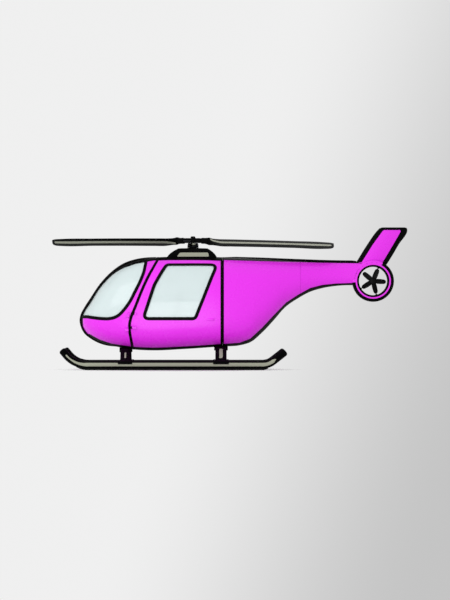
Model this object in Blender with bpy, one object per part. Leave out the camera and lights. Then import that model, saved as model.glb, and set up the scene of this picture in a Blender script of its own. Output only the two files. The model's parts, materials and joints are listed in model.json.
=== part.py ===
"""A light four-seat helicopter with skids and a shrouded tail fan, one named object for each sub-part.

Metres, +Z up, nose towards -X, left side towards -Y. Sizes are given from the mast: X from the mast's
axis, Y from the centre plane and Z from the ground. One empty carries everything and shifts it along X,
so that the origin is on the ground under the middle of the whole length.
"""
import math

import bmesh
import bpy
from mathutils import Matrix, Vector

ROTOR_RADIUS = 2.960
TAIL_END_X = 4.500
MIDDLE_X = (TAIL_END_X - ROTOR_RADIUS) / 2
SEAT_GAP = 0.0003  # between faces that rest on each other
WALL = 0.040  # skin with its frames, as thick as the doors
GLASS_DEPTH = 0.012  # the panes lie this far inside the outer surface
GLASS_THICKNESS = 0.008
DOOR_GAP = 0.008
DOOR_REAR_GAP = 0.018  # wider, because the rear edge swings out past the jamb
DOOR_REAR_TAPER = 0.025  # and it widens inwards by this share of the depth
DOOR_EDGE_Y = 0.400  # where the door's upper and lower edges lie
DOOR_EDGE_SLOPE = 1.3  # those edges are cut square to the skin, so they rise inwards
FRAME_JOIN_X = 0.622  # where the cabin meets the rear fuselage
BOOM_JOIN_X = 2.250
RING_STEPS = 6  # points in each quarter of a section

# The fuselage's sections: (x, top, bottom, half width, height share of the widest line, squareness,
# rings to the next section)
SECTIONS = (
    (-2.335, 1.040, 1.040, 0.000, 0.50, 2.0, 2),
    (-2.275, 1.235, 0.840, 0.245, 0.50, 2.0, 2),
    (-2.160, 1.410, 0.705, 0.400, 0.48, 2.1, 2),
    (-1.950, 1.735, 0.580, 0.560, 0.45, 2.3, 2),
    (-1.700, 2.008, 0.503, 0.655, 0.43, 2.5, 2),
    (-1.450, 2.192, 0.450, 0.705, 0.41, 2.6, 1),
    (-1.200, 2.290, 0.418, 0.730, 0.40, 2.7, 1),
    (-0.820, 2.350, 0.402, 0.745, 0.40, 2.8, 2),
    (-0.200, 2.368, 0.430, 0.750, 0.40, 2.8, 2),
    (0.610, 2.358, 0.484, 0.730, 0.40, 2.7, 1),
    (0.980, 2.343, 0.508, 0.680, 0.41, 2.6, 1),
    (1.200, 2.335, 0.572, 0.640, 0.42, 2.5, 1),
    (1.450, 2.325, 0.775, 0.575, 0.44, 2.4, 1),
    (1.700, 2.313, 1.040, 0.500, 0.46, 2.3, 1),
    (1.950, 2.300, 1.320, 0.420, 0.48, 2.2, 1),
    (2.200, 2.290, 1.492, 0.350, 0.50, 2.1, 1),
    (2.460, 2.280, 1.632, 0.285, 0.50, 2.1, 1),
    (2.710, 2.271, 1.708, 0.235, 0.50, 2.1, 1),
    (3.000, 2.264, 1.755, 0.195, 0.50, 2.1, 1),
    (3.630, 2.258, 1.772, 0.165, 0.50, 2.1, 1),
)

# Outlines seen from the left side, as (x, z)
DOOR_FRONT_EDGE = (
    (-1.262, 0.468),
    (-1.315, 0.980),
    (-1.290, 1.085),
    (-1.197, 1.320),
    (-1.071, 1.638),
    (-0.945, 1.920),
    (-0.820, 2.150),
    (-0.740, 2.294),
)
DOOR_REAR_X, DOOR_REAR_BOTTOM, DOOR_REAR_TOP = 0.612, 0.546, 2.300
DOOR_WINDOW_CORNERS = ((-1.035, 1.070), (0.050, 1.070), (0.505, 2.200), (-0.550, 2.200), (-0.800, 1.780))
DOOR_WINDOW_ROUNDING = 0.090
WINDSHIELD_OUTLINE = (
    (-2.600, 1.115),
    (-2.163, 1.100),
    (-1.953, 1.075),
    (-1.730, 1.072),
    (-1.620, 1.100),
    (-1.530, 1.155),
    (-1.449, 1.239),
    (-1.323, 1.407),
    (-1.197, 1.648),
    (-1.071, 1.911),
    (-1.005, 2.110),
    (-0.985, 2.240),
    (-0.985, 2.600),
    (-2.600, 2.600),
)
CENTRE_POST_HALF = 0.028
# The outer edge of the strip over the nose, from the roof's front to the chin
NOSE_STRIP_EDGE = (
    (-0.780, 2.363),
    (-1.000, 2.352),
    (-1.200, 2.320),
    (-1.450, 2.236),
    (-1.700, 2.066),
    (-1.950, 1.806),
    (-2.160, 1.494),
    (-2.280, 1.310),
    (-2.360, 1.155),
    (-2.383, 1.040),
    (-2.362, 0.915),
    (-2.280, 0.755),
    (-2.160, 0.655),
    (-1.950, 0.544),
    (-1.780, 0.498),
    (-1.620, 0.482),
)
NOSE_STRIP_HALF = 0.022
# The tail shaft's cover: (x, half width, height above the skin)
SHAFT_COVER = (
    (0.640, 0.050, 0.006),
    (0.900, 0.085, 0.026),
    (2.000, 0.085, 0.036),
    (3.330, 0.062, 0.036),
    (3.400, 0.045, 0.010),
)

HINGE_X, HINGE_Y = -1.336, 0.748
HINGE_HEIGHTS = (0.860, 1.150)
KNUCKLE_RADIUS, PIN_RADIUS, LEAF_THICKNESS = 0.020, 0.009, 0.010

FLOOR_TOP = 0.620
FLOOR_THICKNESS = 0.035
BULKHEAD_X, BULKHEAD_THICKNESS = 0.665, 0.030

SKID_Y = 0.860
SKID_RADIUS = 0.080
SHOE_THICKNESS = 0.032
SKID_AXIS_Z = SHOE_THICKNESS + SKID_RADIUS
SKID_FRONT_BEND, SKID_REAR_BEND = -2.210, 1.460  # where the straight run ends
SHOE_FIRST_POINT = 4  # of the skid's path: the third from the bend's start
# (x, height of the belly there, half chord of the legs)
CROSS_TUBE_STATIONS = ((-1.407, 0.444, 0.105), (0.588, 0.482, 0.118))
LEG_HALF_THICKNESS = 0.034
CLAMP_OVERHANG, SADDLE_OVERHANG = 0.025, 0.045  # past each side of the leg

FAN_X, FAN_Z = 3.780, 1.8585
SHROUD_RADIUS, DUCT_RADIUS, SHROUD_HALF_DEPTH = 0.436, 0.298, 0.150
SHROUD_STEPS = 32
FAN_RADIUS, FAN_BLADES, FAN_TURN = 0.272, 5, math.radians(-4)

MAST_RADIUS = 0.042
ROTOR_Z = 2.700
HUB_HALF_HEIGHT = 0.045
BLADE_ROOT_X = 0.172
BLADE_CHORD = 0.440
BLADE_DROOP = 0.040
BLADE_TEETER = 0.012  # the rotor rests tilted back, rising this much for each metre ahead
FAIRING_TOP = 2.541
SWASHPLATE_TOP = 2.582
HORN_HALF_HEIGHT = 0.012
PITCH_LINK_PLACE = (-0.066, -0.092)

PAINT = ("magenta_paint", (0.807, 0.047, 0.855, 1), 0.25, 0.0)
GREY = ("grey_enamel", (0.350, 0.361, 0.287, 1), 0.40, 0.0)
BLACK = ("black_enamel", (0.012, 0.012, 0.013, 1), 0.45, 0.0)
RUBBER = ("black_rubber", (0.010, 0.010, 0.011, 1), 0.80, 0.0)
GLAZING = ("tinted_acrylic", (0.745, 0.855, 0.855, 0.45), 0.05, 0.0)
STEEL = ("dark_steel", (0.060, 0.060, 0.063, 1), 0.40, 1.0)
TRIM = ("cabin_trim", (0.520, 0.540, 0.545, 1), 0.70, 0.0)
CLOTH = ("seat_fabric", (0.560, 0.600, 0.620, 1), 0.90, 0.0)


def material(kind):
    name, colour, roughness, metallic = kind
    found = bpy.data.materials.get(name)
    if found:
        return found
    made = bpy.data.materials.new(name)
    made.use_nodes = True
    shader = made.node_tree.nodes["Principled BSDF"]
    shader.inputs["Base Color"].default_value = colour
    shader.inputs["Alpha"].default_value = colour[3]
    shader.inputs["Roughness"].default_value = roughness
    shader.inputs["Metallic"].default_value = metallic
    return made


def object_of(name, bm, kind=None, smooth_below=40):
    """An object from a bmesh, with its faces outwards. Without a material it is a cutter."""
    bmesh.ops.recalc_face_normals(bm, faces=bm.faces)
    mesh = bpy.data.meshes.new(name)
    bm.to_mesh(mesh)
    bm.free()
    if smooth_below:
        mesh.shade_smooth()
        mesh.set_sharp_from_angle(angle=math.radians(smooth_below))
    made = bpy.data.objects.new(name, mesh)
    bpy.context.scene.collection.objects.link(made)
    if kind:
        mesh.materials.append(material(kind))
    else:
        made.hide_render = True
        made.display_type = "WIRE"
    return made


def settled(target):
    """Turns the object's modifiers into its own mesh."""
    bpy.context.view_layer.update()
    graph = bpy.context.evaluated_depsgraph_get()
    mesh = bpy.data.meshes.new_from_object(target.evaluated_get(graph))
    target.modifiers.clear()
    target.data = mesh
    return target


def combine(target, operation, *others):
    """Applies one Boolean with each of the other objects in turn, and removes them."""
    for other in others:
        modifier = target.modifiers.new(operation.lower(), "BOOLEAN")
        modifier.operation = operation
        modifier.solver = "EXACT"
        modifier.object = other
        settled(target)
        bpy.data.objects.remove(other)
    return target


def cut(target, *cutters):
    return combine(target, "DIFFERENCE", *cutters)


def keep(target, *keepers):
    return combine(target, "INTERSECT", *keepers)


def join(target, *others):
    return combine(target, "UNION", *others)


def finish(target, kind, smooth_below=40):
    """Shows a piece that was made from cutters, with its material."""
    target.hide_render = False
    target.display_type = "TEXTURED"
    target.data.materials.clear()
    target.data.materials.append(material(kind))
    target.data.shade_smooth()
    target.data.set_sharp_from_angle(angle=math.radians(smooth_below))
    return target


def copy_of(source, name):
    made = source.copy()
    made.data = source.data.copy()
    made.name = name
    bpy.context.scene.collection.objects.link(made)
    return made


def mirrored(source, name):
    """The same piece on the other side of the centre plane."""
    made = copy_of(source, name)
    made.data.transform(Matrix.Diagonal((1, -1, 1, 1)))
    made.data.flip_normals()
    return made


def box(name, low, high, kind=None, bevel=0.0):
    bm = bmesh.new()
    size = Vector(high) - Vector(low)
    middle = (Vector(high) + Vector(low)) / 2
    bmesh.ops.create_cube(bm, size=1, matrix=Matrix.Translation(middle) @ Matrix.Diagonal((*size, 1)))
    if bevel:
        bmesh.ops.bevel(bm, geom=bm.edges[:], offset=bevel, segments=2, profile=0.5, affect="EDGES")
    return object_of(name, bm, kind)


def ring_loft(name, rings, kind=None, smooth_below=40):
    """A closed solid through rings of points. A ring of one point is a pole."""
    bm = bmesh.new()
    rows = [[bm.verts.new(point) for point in ring] for ring in rings]
    for near, far in zip(rows, rows[1:]):
        for i in range(max(len(near), len(far))):
            j = i + 1
            corners = near[i % len(near)], near[j % len(near)], far[j % len(far)], far[i % len(far)]
            bm.faces.new(dict.fromkeys(corners))
    for end in (rows[0], rows[-1]):
        if len(end) > 1:
            bm.faces.new(end)
    bmesh.ops.triangulate(bm, faces=bm.faces)
    return object_of(name, bm, kind, smooth_below)


def prism(name, outline, low, high, axis="Y", kind=None):
    """A flat outline drawn out along an axis: (x, z) along Y, or (y, z) along X."""
    place = {"Y": lambda p, d: (p[0], d, p[1]), "X": lambda p, d: (d, p[0], p[1])}[axis]
    bm = bmesh.new()
    face = bm.faces.new([bm.verts.new(place(point, low)) for point in outline])
    drawn = bmesh.ops.extrude_face_region(bm, geom=[face])["geom"]
    ends = [v for v in drawn if isinstance(v, bmesh.types.BMVert)]
    bmesh.ops.translate(bm, vec=Vector(place((0, 0), high - low)), verts=ends)
    bmesh.ops.triangulate(bm, faces=bm.faces)
    return object_of(name, bm, kind)


def rod(name, start, end, radius, end_radius=None, steps=16, kind=None, turn=0.0):
    """A round bar, or a cone, between two points."""
    start, end = Vector(start), Vector(end)
    along = end - start
    place = Matrix.Translation((start + end) / 2) @ along.to_track_quat("Z", "Y").to_matrix().to_4x4()
    bm = bmesh.new()
    bmesh.ops.create_cone(
        bm,
        cap_ends=True,
        segments=steps,
        radius1=radius,
        radius2=radius if end_radius is None else end_radius,
        depth=along.length,
        matrix=place @ Matrix.Rotation(turn, 4, "Z"),
    )
    return object_of(name, bm, kind)


def rounded(corners, radius, steps=4):
    """An outline with each corner turned into an arc, as far as its sides allow."""
    made = []
    count = len(corners)
    for i, corner in enumerate(corners):
        at = Vector(corner)
        before, after = Vector(corners[i - 1]) - at, Vector(corners[(i + 1) % count]) - at
        half = before.angle(after) / 2
        run = min(radius / math.tan(half), before.length * 0.45, after.length * 0.45)
        first, last = at + before.normalized() * run, at + after.normalized() * run
        for step in range(steps + 1):
            t = step / steps
            made.append(tuple((1 - t) ** 2 * first + 2 * t * (1 - t) * at + t**2 * last))
    return made


def grown(outline, distance):
    """The outline moved out by a distance, or in if it is negative. The points run counterclockwise."""
    made = []
    count = len(outline)
    for i in range(count):
        before = (Vector(outline[i]) - Vector(outline[i - 1])).normalized()
        after = (Vector(outline[(i + 1) % count]) - Vector(outline[i])).normalized()
        outward = Vector((before.y + after.y, -before.x - after.x))
        outward *= 2 / outward.length_squared
        made.append(tuple(Vector(outline[i]) + outward * distance))
    return made


def path_frames(path, across):
    """Each point of a path, with the upward direction there, longer where the path bends."""
    points = [Vector(point) for point in path]
    runs = [(b - a).normalized() for a, b in zip(points, points[1:])]
    frames = []
    for i, point in enumerate(points):
        before, after = runs[max(i - 1, 0)], runs[min(i, len(runs) - 1)]
        up = (before + after).cross(across).normalized()
        frames.append((point, up / math.cos(before.angle(after) / 2)))
    return frames


def tube_rings(path, across, steps, half_sizes):
    """Oval rings square to a path. across is the direction of the oval's first half size."""
    across = Vector(across)
    rings = []
    for point, up in path_frames(path, across):
        ring = []
        for step in range(steps):
            angle = 2 * math.pi * (step + 0.5) / steps
            side = across * math.cos(angle) * half_sizes[0]
            ring.append(point + side + up * math.sin(angle) * half_sizes[1])
        rings.append(ring)
    return rings


def smooth_sections():
    """Rows between the table's sections, on a cubic through them that closes smoothly round the nose."""
    rows = [Vector(section[:6]) for section in SECTIONS]
    nose, second = rows[0], rows[1]
    behind_nose = Vector((second[0], second[2], second[1], -second[3], second[4], second[5]))
    points = [behind_nose, *rows]
    reach = [0.0]
    for a, b in zip(points, points[1:]):
        reach.append(reach[-1] + (Vector(b[:4]) - Vector(a[:4])).length)
    slopes = []
    for i in range(1, len(points)):
        back = reach[i] - reach[i - 1]
        before = (points[i] - points[i - 1]) / back
        if i == len(points) - 1:
            slopes.append(before)
            continue
        ahead = reach[i + 1] - reach[i]
        after = (points[i + 1] - points[i]) / ahead
        slopes.append((before * ahead + after * back) / (ahead + back))
    made = [nose]
    for i in range(len(rows) - 1):
        span = reach[i + 2] - reach[i + 1]
        for step in range(1, SECTIONS[i][6] + 1):
            t = step / SECTIONS[i][6]
            made.append(
                rows[i] * (2 * t**3 - 3 * t**2 + 1)
                + slopes[i] * (t**3 - 2 * t**2 + t) * span
                + rows[i + 1] * (3 * t**2 - 2 * t**3)
                + slopes[i + 1] * (t**3 - t**2) * span
            )
    return made


def section_ring(row):
    """The outline of one section, a superellipse whose lower and upper halves meet at its widest line."""
    x, top, bottom, half, share, squareness = row
    if half < 0.001:
        return [Vector((x, 0, (top + bottom) / 2))]
    belt = bottom + share * (top - bottom)
    ring = []
    for step in range(4 * RING_STEPS):
        angle = math.pi / 2 * step / RING_STEPS
        c, s = math.cos(angle), math.sin(angle)
        reach = (abs(c) ** squareness + abs(s) ** squareness) ** (-1 / squareness)
        height = top - belt if s > 0 else belt - bottom
        ring.append(Vector((x, -half * reach * c, belt + height * reach * s)))
    return ring


def skin(name, offset=0.0):
    """The fuselage's outer form from nose to boom, moved out along its normals by the offset."""
    form = ring_loft(name, [section_ring(row) for row in smooth_sections()])
    if offset:
        bm = bmesh.new()
        bm.from_mesh(form.data)
        bm.normal_update()
        shifts = [(v, v.normal.copy()) for v in bm.verts]
        for v, normal in shifts:
            v.co += normal * offset
        bm.to_mesh(form.data)
        bm.free()
    return form


def layer(name, outer, inner):
    """The skin between two offsets, open at neither end."""
    return cut(skin(name, outer), skin("inside", inner))


def half_space(name, x_low=-6.0, x_high=6.0, y_low=-3.0, y_high=3.0, z_low=-1.0, z_high=5.0):
    return box(name, (x_low, y_low, z_low), (x_high, y_high, z_high))


def nose_side(offset):
    """The outline of all that lies ahead of the doors' front edge, moved forward by the offset."""
    edge = [(x - offset, z) for x, z in DOOR_FRONT_EDGE]
    return [(-3.0, -0.5), (edge[0][0], -0.5), *edge, (edge[-1][0], 3.5), (-3.0, 3.5)]


def door_form(name, margin):
    """The left door's space through the skin, with each edge moved out by the margin."""
    edge = [(x - margin, z) for x, z in DOOR_FRONT_EDGE]
    front = [(edge[0][0], -0.5), *edge, (edge[-1][0], 3.5)]
    form = prism(name, [*front, (2.0, 3.5), (2.0, -0.5)], -2.0, -0.1)
    # The lower and upper edges run aft at their own slopes, and rise or fall inwards
    steep = margin * math.hypot(1, DOOR_EDGE_SLOPE)
    rings = []
    for x, bottom, top in (
        (-1.6, DOOR_FRONT_EDGE[0][1], DOOR_FRONT_EDGE[-1][1]),
        (DOOR_REAR_X + 0.2, DOOR_REAR_BOTTOM, DOOR_REAR_TOP),
    ):
        ring = []
        for y in (1.5, 0.2):
            drop = (y - DOOR_EDGE_Y) * DOOR_EDGE_SLOPE
            ring = [(x, -y, bottom - steep - drop), *ring, (x, -y, top + steep + drop)]
        rings.append(ring)
    return keep(form, ring_loft("between_edges", rings))


def cabin_shell():
    """The nose, the roof and the belly, and the left door's skin that fits between them."""
    whole = layer("cabin_skin", 0.0, -WALL)
    cabin = keep(whole, half_space("cabin_length", x_high=FRAME_JOIN_X - SEAT_GAP))
    door_skin = keep(copy_of(cabin, "door_left"), door_form("door_edge", -DOOR_GAP / 2))
    inner_x = DOOR_REAR_X + 0.010 - DOOR_REAR_GAP - 0.55 * DOOR_REAR_TAPER
    outer_x = inner_x + 0.8 * DOOR_REAR_TAPER
    corners = ((outer_x, -1.0), (2.0, -1.0), (2.0, -0.2), (inner_x, -0.2))
    keep_clear = ring_loft("rear_clearance", [[(x, y, z) for x, y in corners] for z in (-1.0, 4.0)])
    cut(door_skin, keep_clear)

    opening = door_form("door_opening", DOOR_GAP / 2)
    frame = cut(cabin, mirrored(opening, "other_opening"), opening)

    nose = copy_of(frame, "nose_shell")
    keep(nose, prism("ahead_of_door", nose_side(0.0), -2.0, 2.0))
    behind = cut(frame, prism("nose_part", nose_side(-SEAT_GAP), -2.1, 2.1))
    roof = keep(copy_of(behind, "roof_panel"), half_space("upper", z_low=1.4))
    belly = keep(behind, half_space("lower", z_high=1.4))
    belly.name = "belly_panel"

    pane_hole = prism("windshield_opening", WINDSHIELD_OUTLINE, -1.0, 1.0)
    post = box("post", (-2.5, -CENTRE_POST_HALF, 0.9), (-0.8, CENTRE_POST_HALF, 2.6))
    cut(nose, cut(pane_hole, post))
    for piece, kind in ((nose, PAINT), (roof, BLACK), (belly, BLACK)):
        finish(piece, kind)
    return nose, door_skin


def windshield_pane():
    pane = layer("windshield_left", -GLASS_DEPTH, -GLASS_DEPTH - GLASS_THICKNESS)
    outline = grown(WINDSHIELD_OUTLINE, -SEAT_GAP)
    keep(pane, prism("pane_outline", outline, -1.0, -CENTRE_POST_HALF - SEAT_GAP))
    mirrored(finish(pane, GLAZING), "windshield_right")


def door(skin_piece):
    """The left door: a skin panel with its window cut, its handle and its hinge leaves."""
    window = rounded(DOOR_WINDOW_CORNERS, DOOR_WINDOW_ROUNDING)
    cut(skin_piece, prism("window_hole", window, -1.5, 0.0))
    for height in HINGE_HEIGHTS:
        leaf = hinge_leaf("door_leaf", height + SEAT_GAP, height + 0.050, 0.170, 0.060)
        bore = (HINGE_X, -HINGE_Y, height - 0.1), (HINGE_X, -HINGE_Y, height + 0.030)
        cut(leaf, rod("pin_bore", *bore, PIN_RADIUS + 0.0006, steps=12))
        join(skin_piece, leaf)
    join(skin_piece, box("handle", (0.30, -0.762, 1.040), (0.44, -0.700, 1.068), bevel=0.008))
    finish(skin_piece, PAINT)
    pane = layer("door_window_left", -GLASS_DEPTH, -GLASS_DEPTH - GLASS_THICKNESS)
    keep(pane, prism("pane_outline", grown(window, -SEAT_GAP), -1.5, -0.05))
    finish(pane, GLAZING)
    return [skin_piece, pane]


def hinge_leaf(name, z_low, z_high, reach, foot):
    """A knuckle on the left hinge's axis and a plate beside the skin, whose end stands in the skin.

    The reach is from the axis to the plate's end, aft if it is above 0, and the foot is that end's length.
    """
    knuckle = rod(name, (HINGE_X, -HINGE_Y, z_low), (HINGE_X, -HINGE_Y, z_high), KNUCKLE_RADIUS)
    near, far = sorted((HINGE_X, HINGE_X + reach))
    half = LEAF_THICKNESS / 2
    plate = box("plate", (near, -HINGE_Y - half, z_low), (far, -HINGE_Y + half, z_high))
    end = far - foot if reach > 0 else near
    stem = box("stem", (end, -HINGE_Y, z_low + 0.004), (end + foot, -0.600, z_high - 0.004))
    cut(stem, skin("skin_of_stem", -0.012))
    return join(knuckle, plate, stem)


def nose_hinges(nose):
    """Two leaves a side on the nose, each with the pin that the door's leaf turns on."""
    for height in HINGE_HEIGHTS:
        leaf = hinge_leaf("nose_leaf", height - 0.050, height, -0.085, 0.050)
        pin = (HINGE_X, -HINGE_Y, height - 0.020), (HINGE_X, -HINGE_Y, height + 0.028)
        join(leaf, rod("pin", *pin, PIN_RADIUS, steps=12))
        join(nose, mirrored(leaf, "nose_leaf_right"), leaf)
    finish(nose, PAINT)


def belly_lamp(nose):
    """A round landing lamp let into the skin under the nose, to the right of the centre strip."""
    start, end = Vector((-2.160, 0.210, 0.600)), Vector((-1.980, 0.190, 0.800))
    cut(nose, rod("lamp_hole", start, end, 0.0806, steps=20))
    lamp = keep(layer("landing_lamp", 0.004, -0.030), rod("lamp_edge", start, end, 0.080, steps=20))
    finish(lamp, GLAZING)
    finish(nose, PAINT)


def cabin_floor():
    """A floor plate clear of the doors, on a keel box that stands on the belly."""
    rear_x = FRAME_JOIN_X - 0.004
    plate = skin("cabin_floor", -WALL - 0.016)
    keep(plate, box("plate_box", (-1.95, -1, FLOOR_TOP - FLOOR_THICKNESS), (rear_x, 1, FLOOR_TOP)))
    keel = skin("keel", -WALL - 0.0005)
    keep(keel, box("keel_box", (-1.85, -0.30, 0.4), (rear_x, 0.30, FLOOR_TOP - 0.010)))
    finish(join(plate, keel), TRIM)


def rear_fuselage():
    body = layer("rear_fuselage", 0.0, -WALL)
    keep(body, half_space("rear_length", x_low=FRAME_JOIN_X, x_high=BOOM_JOIN_X - SEAT_GAP))
    cut(body, box("grille_hole", (0.9497, 0.3, 1.4997), (1.4503, 1.0, 1.8503)))
    finish(body, PAINT)

    grille = layer("air_intake_grille", -0.004, -0.030)
    keep(grille, box("grille_edge", (0.950, 0.3, 1.500), (1.450, 1.0, 1.850)))
    slots, pitch = 4, 0.080
    for slot in range(slots):
        z = 1.530 + pitch * slot
        cut(grille, box("slot", (0.980, 0.3, z), (1.420, 1.0, z + 0.050)))
    finish(grille, BLACK)

    wall = skin("cabin_bulkhead", -WALL - 0.0005)
    keep(wall, half_space("wall_span", x_low=BULKHEAD_X - BULKHEAD_THICKNESS, x_high=BULKHEAD_X))
    finish(wall, TRIM)


def engine():
    """One plain block, held off the bulkhead by four round mounts."""
    back = BULKHEAD_X + SEAT_GAP
    block = box("engine", (0.780, -0.330, 0.700), (1.420, 0.330, 1.250))
    keep(block, skin("inside", -WALL - 0.030))
    for y in (-0.25, 0.25):
        for z in (0.80, 1.15):
            join(block, rod("mount", (back, y, z), (0.800, y, z), 0.035, steps=12))
    finish(block, STEEL)


def nose_strip():
    """A raised strip on the centre line, from the roof over the windshield's post to the chin."""
    inside = [(-1.620, 0.700), (-1.900, 0.900), (-1.900, 1.200), (-1.500, 1.800), (-0.780, 2.200)]
    strip = prism("nose_strip", [*NOSE_STRIP_EDGE, *inside], -NOSE_STRIP_HALF, NOSE_STRIP_HALF)
    cut(strip, skin("strip_seat", SEAT_GAP))
    finish(strip, RUBBER)


def shaft_cover():
    """A low cover over the tail fan's drive shaft, along the top of the fuselage and the boom."""
    tops = [(row[0], row[1]) for row in smooth_sections()]
    rings = []
    for x, half, height in SHAFT_COVER:
        before = max(pair for pair in tops if pair[0] <= x)
        after = min(pair for pair in tops if pair[0] > x)
        roof = before[1] + (after[1] - before[1]) * (x - before[0]) / (after[0] - before[0])
        section = ((-1.0, -0.03), (-0.92, 0.55), (-0.55, 1.0), (0.55, 1.0), (0.92, 0.55), (1.0, -0.03))
        ring = [(x, half * y, roof + height * z) for y, z in section]
        rings.append([(x, half, roof - 0.060), *reversed(ring), (x, -half, roof - 0.060)])
    cover = ring_loft("shaft_cover", rings)
    cut(cover, skin("cover_seat", SEAT_GAP))
    finish(cover, BLACK)


def tail_boom():
    boom = skin("tail_boom")
    keep(boom, half_space("boom_length", x_low=BOOM_JOIN_X))
    cut(boom, fan_axis_rod("fan_seat", SHROUD_RADIUS + SEAT_GAP, -1.0, 1.0))
    finish(boom, PAINT)


def fan_axis_rod(name, radius, y_low, y_high, steps=SHROUD_STEPS, kind=None):
    return rod(name, (FAN_X, y_low, FAN_Z), (FAN_X, y_high, FAN_Z), radius, steps=steps, kind=kind)


def tail_shroud():
    """The fan's duct: a ring turned about the fan's axis, with round lips."""
    lip, depth = 0.030, SHROUD_HALF_DEPTH
    profile = [
        (DUCT_RADIUS, 0.070),
        (DUCT_RADIUS, -0.070),
        (DUCT_RADIUS + 0.006, -depth + lip),
        (DUCT_RADIUS + 0.022, -depth),
        (SHROUD_RADIUS - lip, -depth),
        (SHROUD_RADIUS - 0.008, -depth + 0.010),
        (SHROUD_RADIUS, -depth + lip),
        (SHROUD_RADIUS, depth - lip),
        (SHROUD_RADIUS - 0.008, depth - 0.010),
        (SHROUD_RADIUS - lip, depth),
        (DUCT_RADIUS + 0.022, depth),
        (DUCT_RADIUS + 0.006, depth - lip),
    ]
    bm = bmesh.new()
    rows = []
    for step in range(SHROUD_STEPS):
        angle = 2 * math.pi * step / SHROUD_STEPS
        c, s = math.cos(angle), math.sin(angle)
        rows.append([bm.verts.new((FAN_X + r * c, y, FAN_Z + r * s)) for r, y in profile])
    for step in range(SHROUD_STEPS):
        near, far = rows[step], rows[(step + 1) % SHROUD_STEPS]
        for i in range(len(profile)):
            j = (i + 1) % len(profile)
            bm.faces.new((near[i], near[j], far[j], far[i]))
    bmesh.ops.triangulate(bm, faces=bm.faces)
    object_of("tail_fan_shroud", bm, PAINT)


def vertical_fin():
    """A swept fin on the shroud and the end of the boom."""
    # (z, leading edge x, trailing edge x, half thickness)
    stations = (
        (2.060, 3.300, 3.985, 0.100),
        (2.300, 3.455, 4.128, 0.085),
        (2.620, 3.655, 4.318, 0.065),
        (2.935, 3.885, 4.500, 0.042),
        (2.985, 3.935, 4.488, 0.032),
    )
    shares = ((0.0, 0.0), (0.03, 0.42), (0.12, 0.80), (0.32, 1.0), (0.65, 0.72), (0.97, 0.20), (1.0, 0.10))
    rings = []
    for z, lead, trail, half in stations:
        near = [(lead + (trail - lead) * along, -half * thick, z) for along, thick in shares]
        far = [(x, -y, height) for x, y, height in reversed(near[1:])]
        rings.append([*near, *far])
    fin = ring_loft("vertical_fin", rings)
    cut(fin, fan_axis_rod("shroud_seat", SHROUD_RADIUS + SEAT_GAP, -1.0, 1.0), skin("boom_seat", SEAT_GAP))
    finish(fin, PAINT)


def fan_carrier():
    """The fan's gearbox on the far side of the duct, with three struts to its wall."""
    body = fan_axis_rod("tail_fan_gearbox", 0.060, 0.028, 0.115, steps=20)
    join(body, fan_axis_rod("nose_of_gearbox", 0.030, 0.0206, 0.040, steps=20))
    for arm in range(3):
        angle = FAN_TURN + 2 * math.pi * (2 * arm - 1) / FAN_BLADES
        c, s = math.cos(angle), math.sin(angle)
        end = Vector((FAN_X + 0.33 * c, 0.052, FAN_Z + 0.33 * s))
        join(body, rod("strut", (FAN_X, 0.052, FAN_Z), end, 0.016, steps=10))
    keep(body, fan_axis_rod("throat", DUCT_RADIUS - 0.0005, -0.06, 0.2))
    finish(body, BLACK)


def tail_fan():
    """Five short blades on a hub, turned so that the first points aft as in the picture."""
    hub = fan_axis_rod("tail_fan", 0.052, -0.060, 0.020, steps=20)
    pitch, half_root, half_tip, half_thick = math.radians(24), 0.056, 0.052, 0.007
    for arm in range(FAN_BLADES):
        turn = Matrix.Rotation(-FAN_TURN - 2 * math.pi * arm / FAN_BLADES, 4, "Y")
        rings = []
        for reach, half in ((0.035, half_root), (FAN_RADIUS - 0.02, half_tip), (FAN_RADIUS, half_tip * 0.6)):
            inner = half * 0.6
            upper = [(-half, 0), (-inner, -half_thick), (inner, -half_thick)]
            ring = []
            for across, thick in [*upper, *[(-across, -thick) for across, thick in upper]]:
                y = across * math.sin(pitch) + thick * math.cos(pitch) - 0.020
                z = across * math.cos(pitch) - thick * math.sin(pitch)
                ring.append(Matrix.Translation((FAN_X, 0, FAN_Z)) @ turn @ Vector((reach, y, z)))
            rings.append(ring)
        join(hub, ring_loft("fan_blade", rings))
    return finish(hub, BLACK)


def mast_fairing():
    """A shallow cowling over the gearbox, with an opening round the mast."""
    # (z, front x, rear x, half width, corner)
    levels = (
        (2.240, -0.600, 0.545, 0.290),
        (2.380, -0.530, 0.490, 0.270),
        (2.510, -0.370, 0.360, 0.200),
        (FAIRING_TOP, -0.310, 0.310, 0.165),
    )

    def cowling(name, inset):
        rings = []
        for z, front, rear, half in levels:
            front, rear, half = front + inset, rear - inset, half - inset
            corners = ((front, -half), (rear, -half), (rear, half), (front, half))
            rings.append([(x, y, z - inset) for x, y in rounded(corners, 0.09, 3)])
        return ring_loft(name, rings)

    cover = cut(cowling("mast_fairing", 0.0), cowling("hollow", 0.018))
    cut(cover, rod("mast_hole", (0, 0, 2.4), (0, 0, 2.6), 0.132, steps=24), skin("roof_seat", 0.0005))
    finish(cover, GREY)

    block = box("main_gearbox", (-0.200, -0.150, 2.250), (0.200, 0.150, 2.425))
    join(block, rod("bearing", (0, 0, 2.40), (0, 0, 2.445), 0.070, steps=20))
    cut(block, skin("deck", 0.0005))
    finish(block, STEEL)


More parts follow.
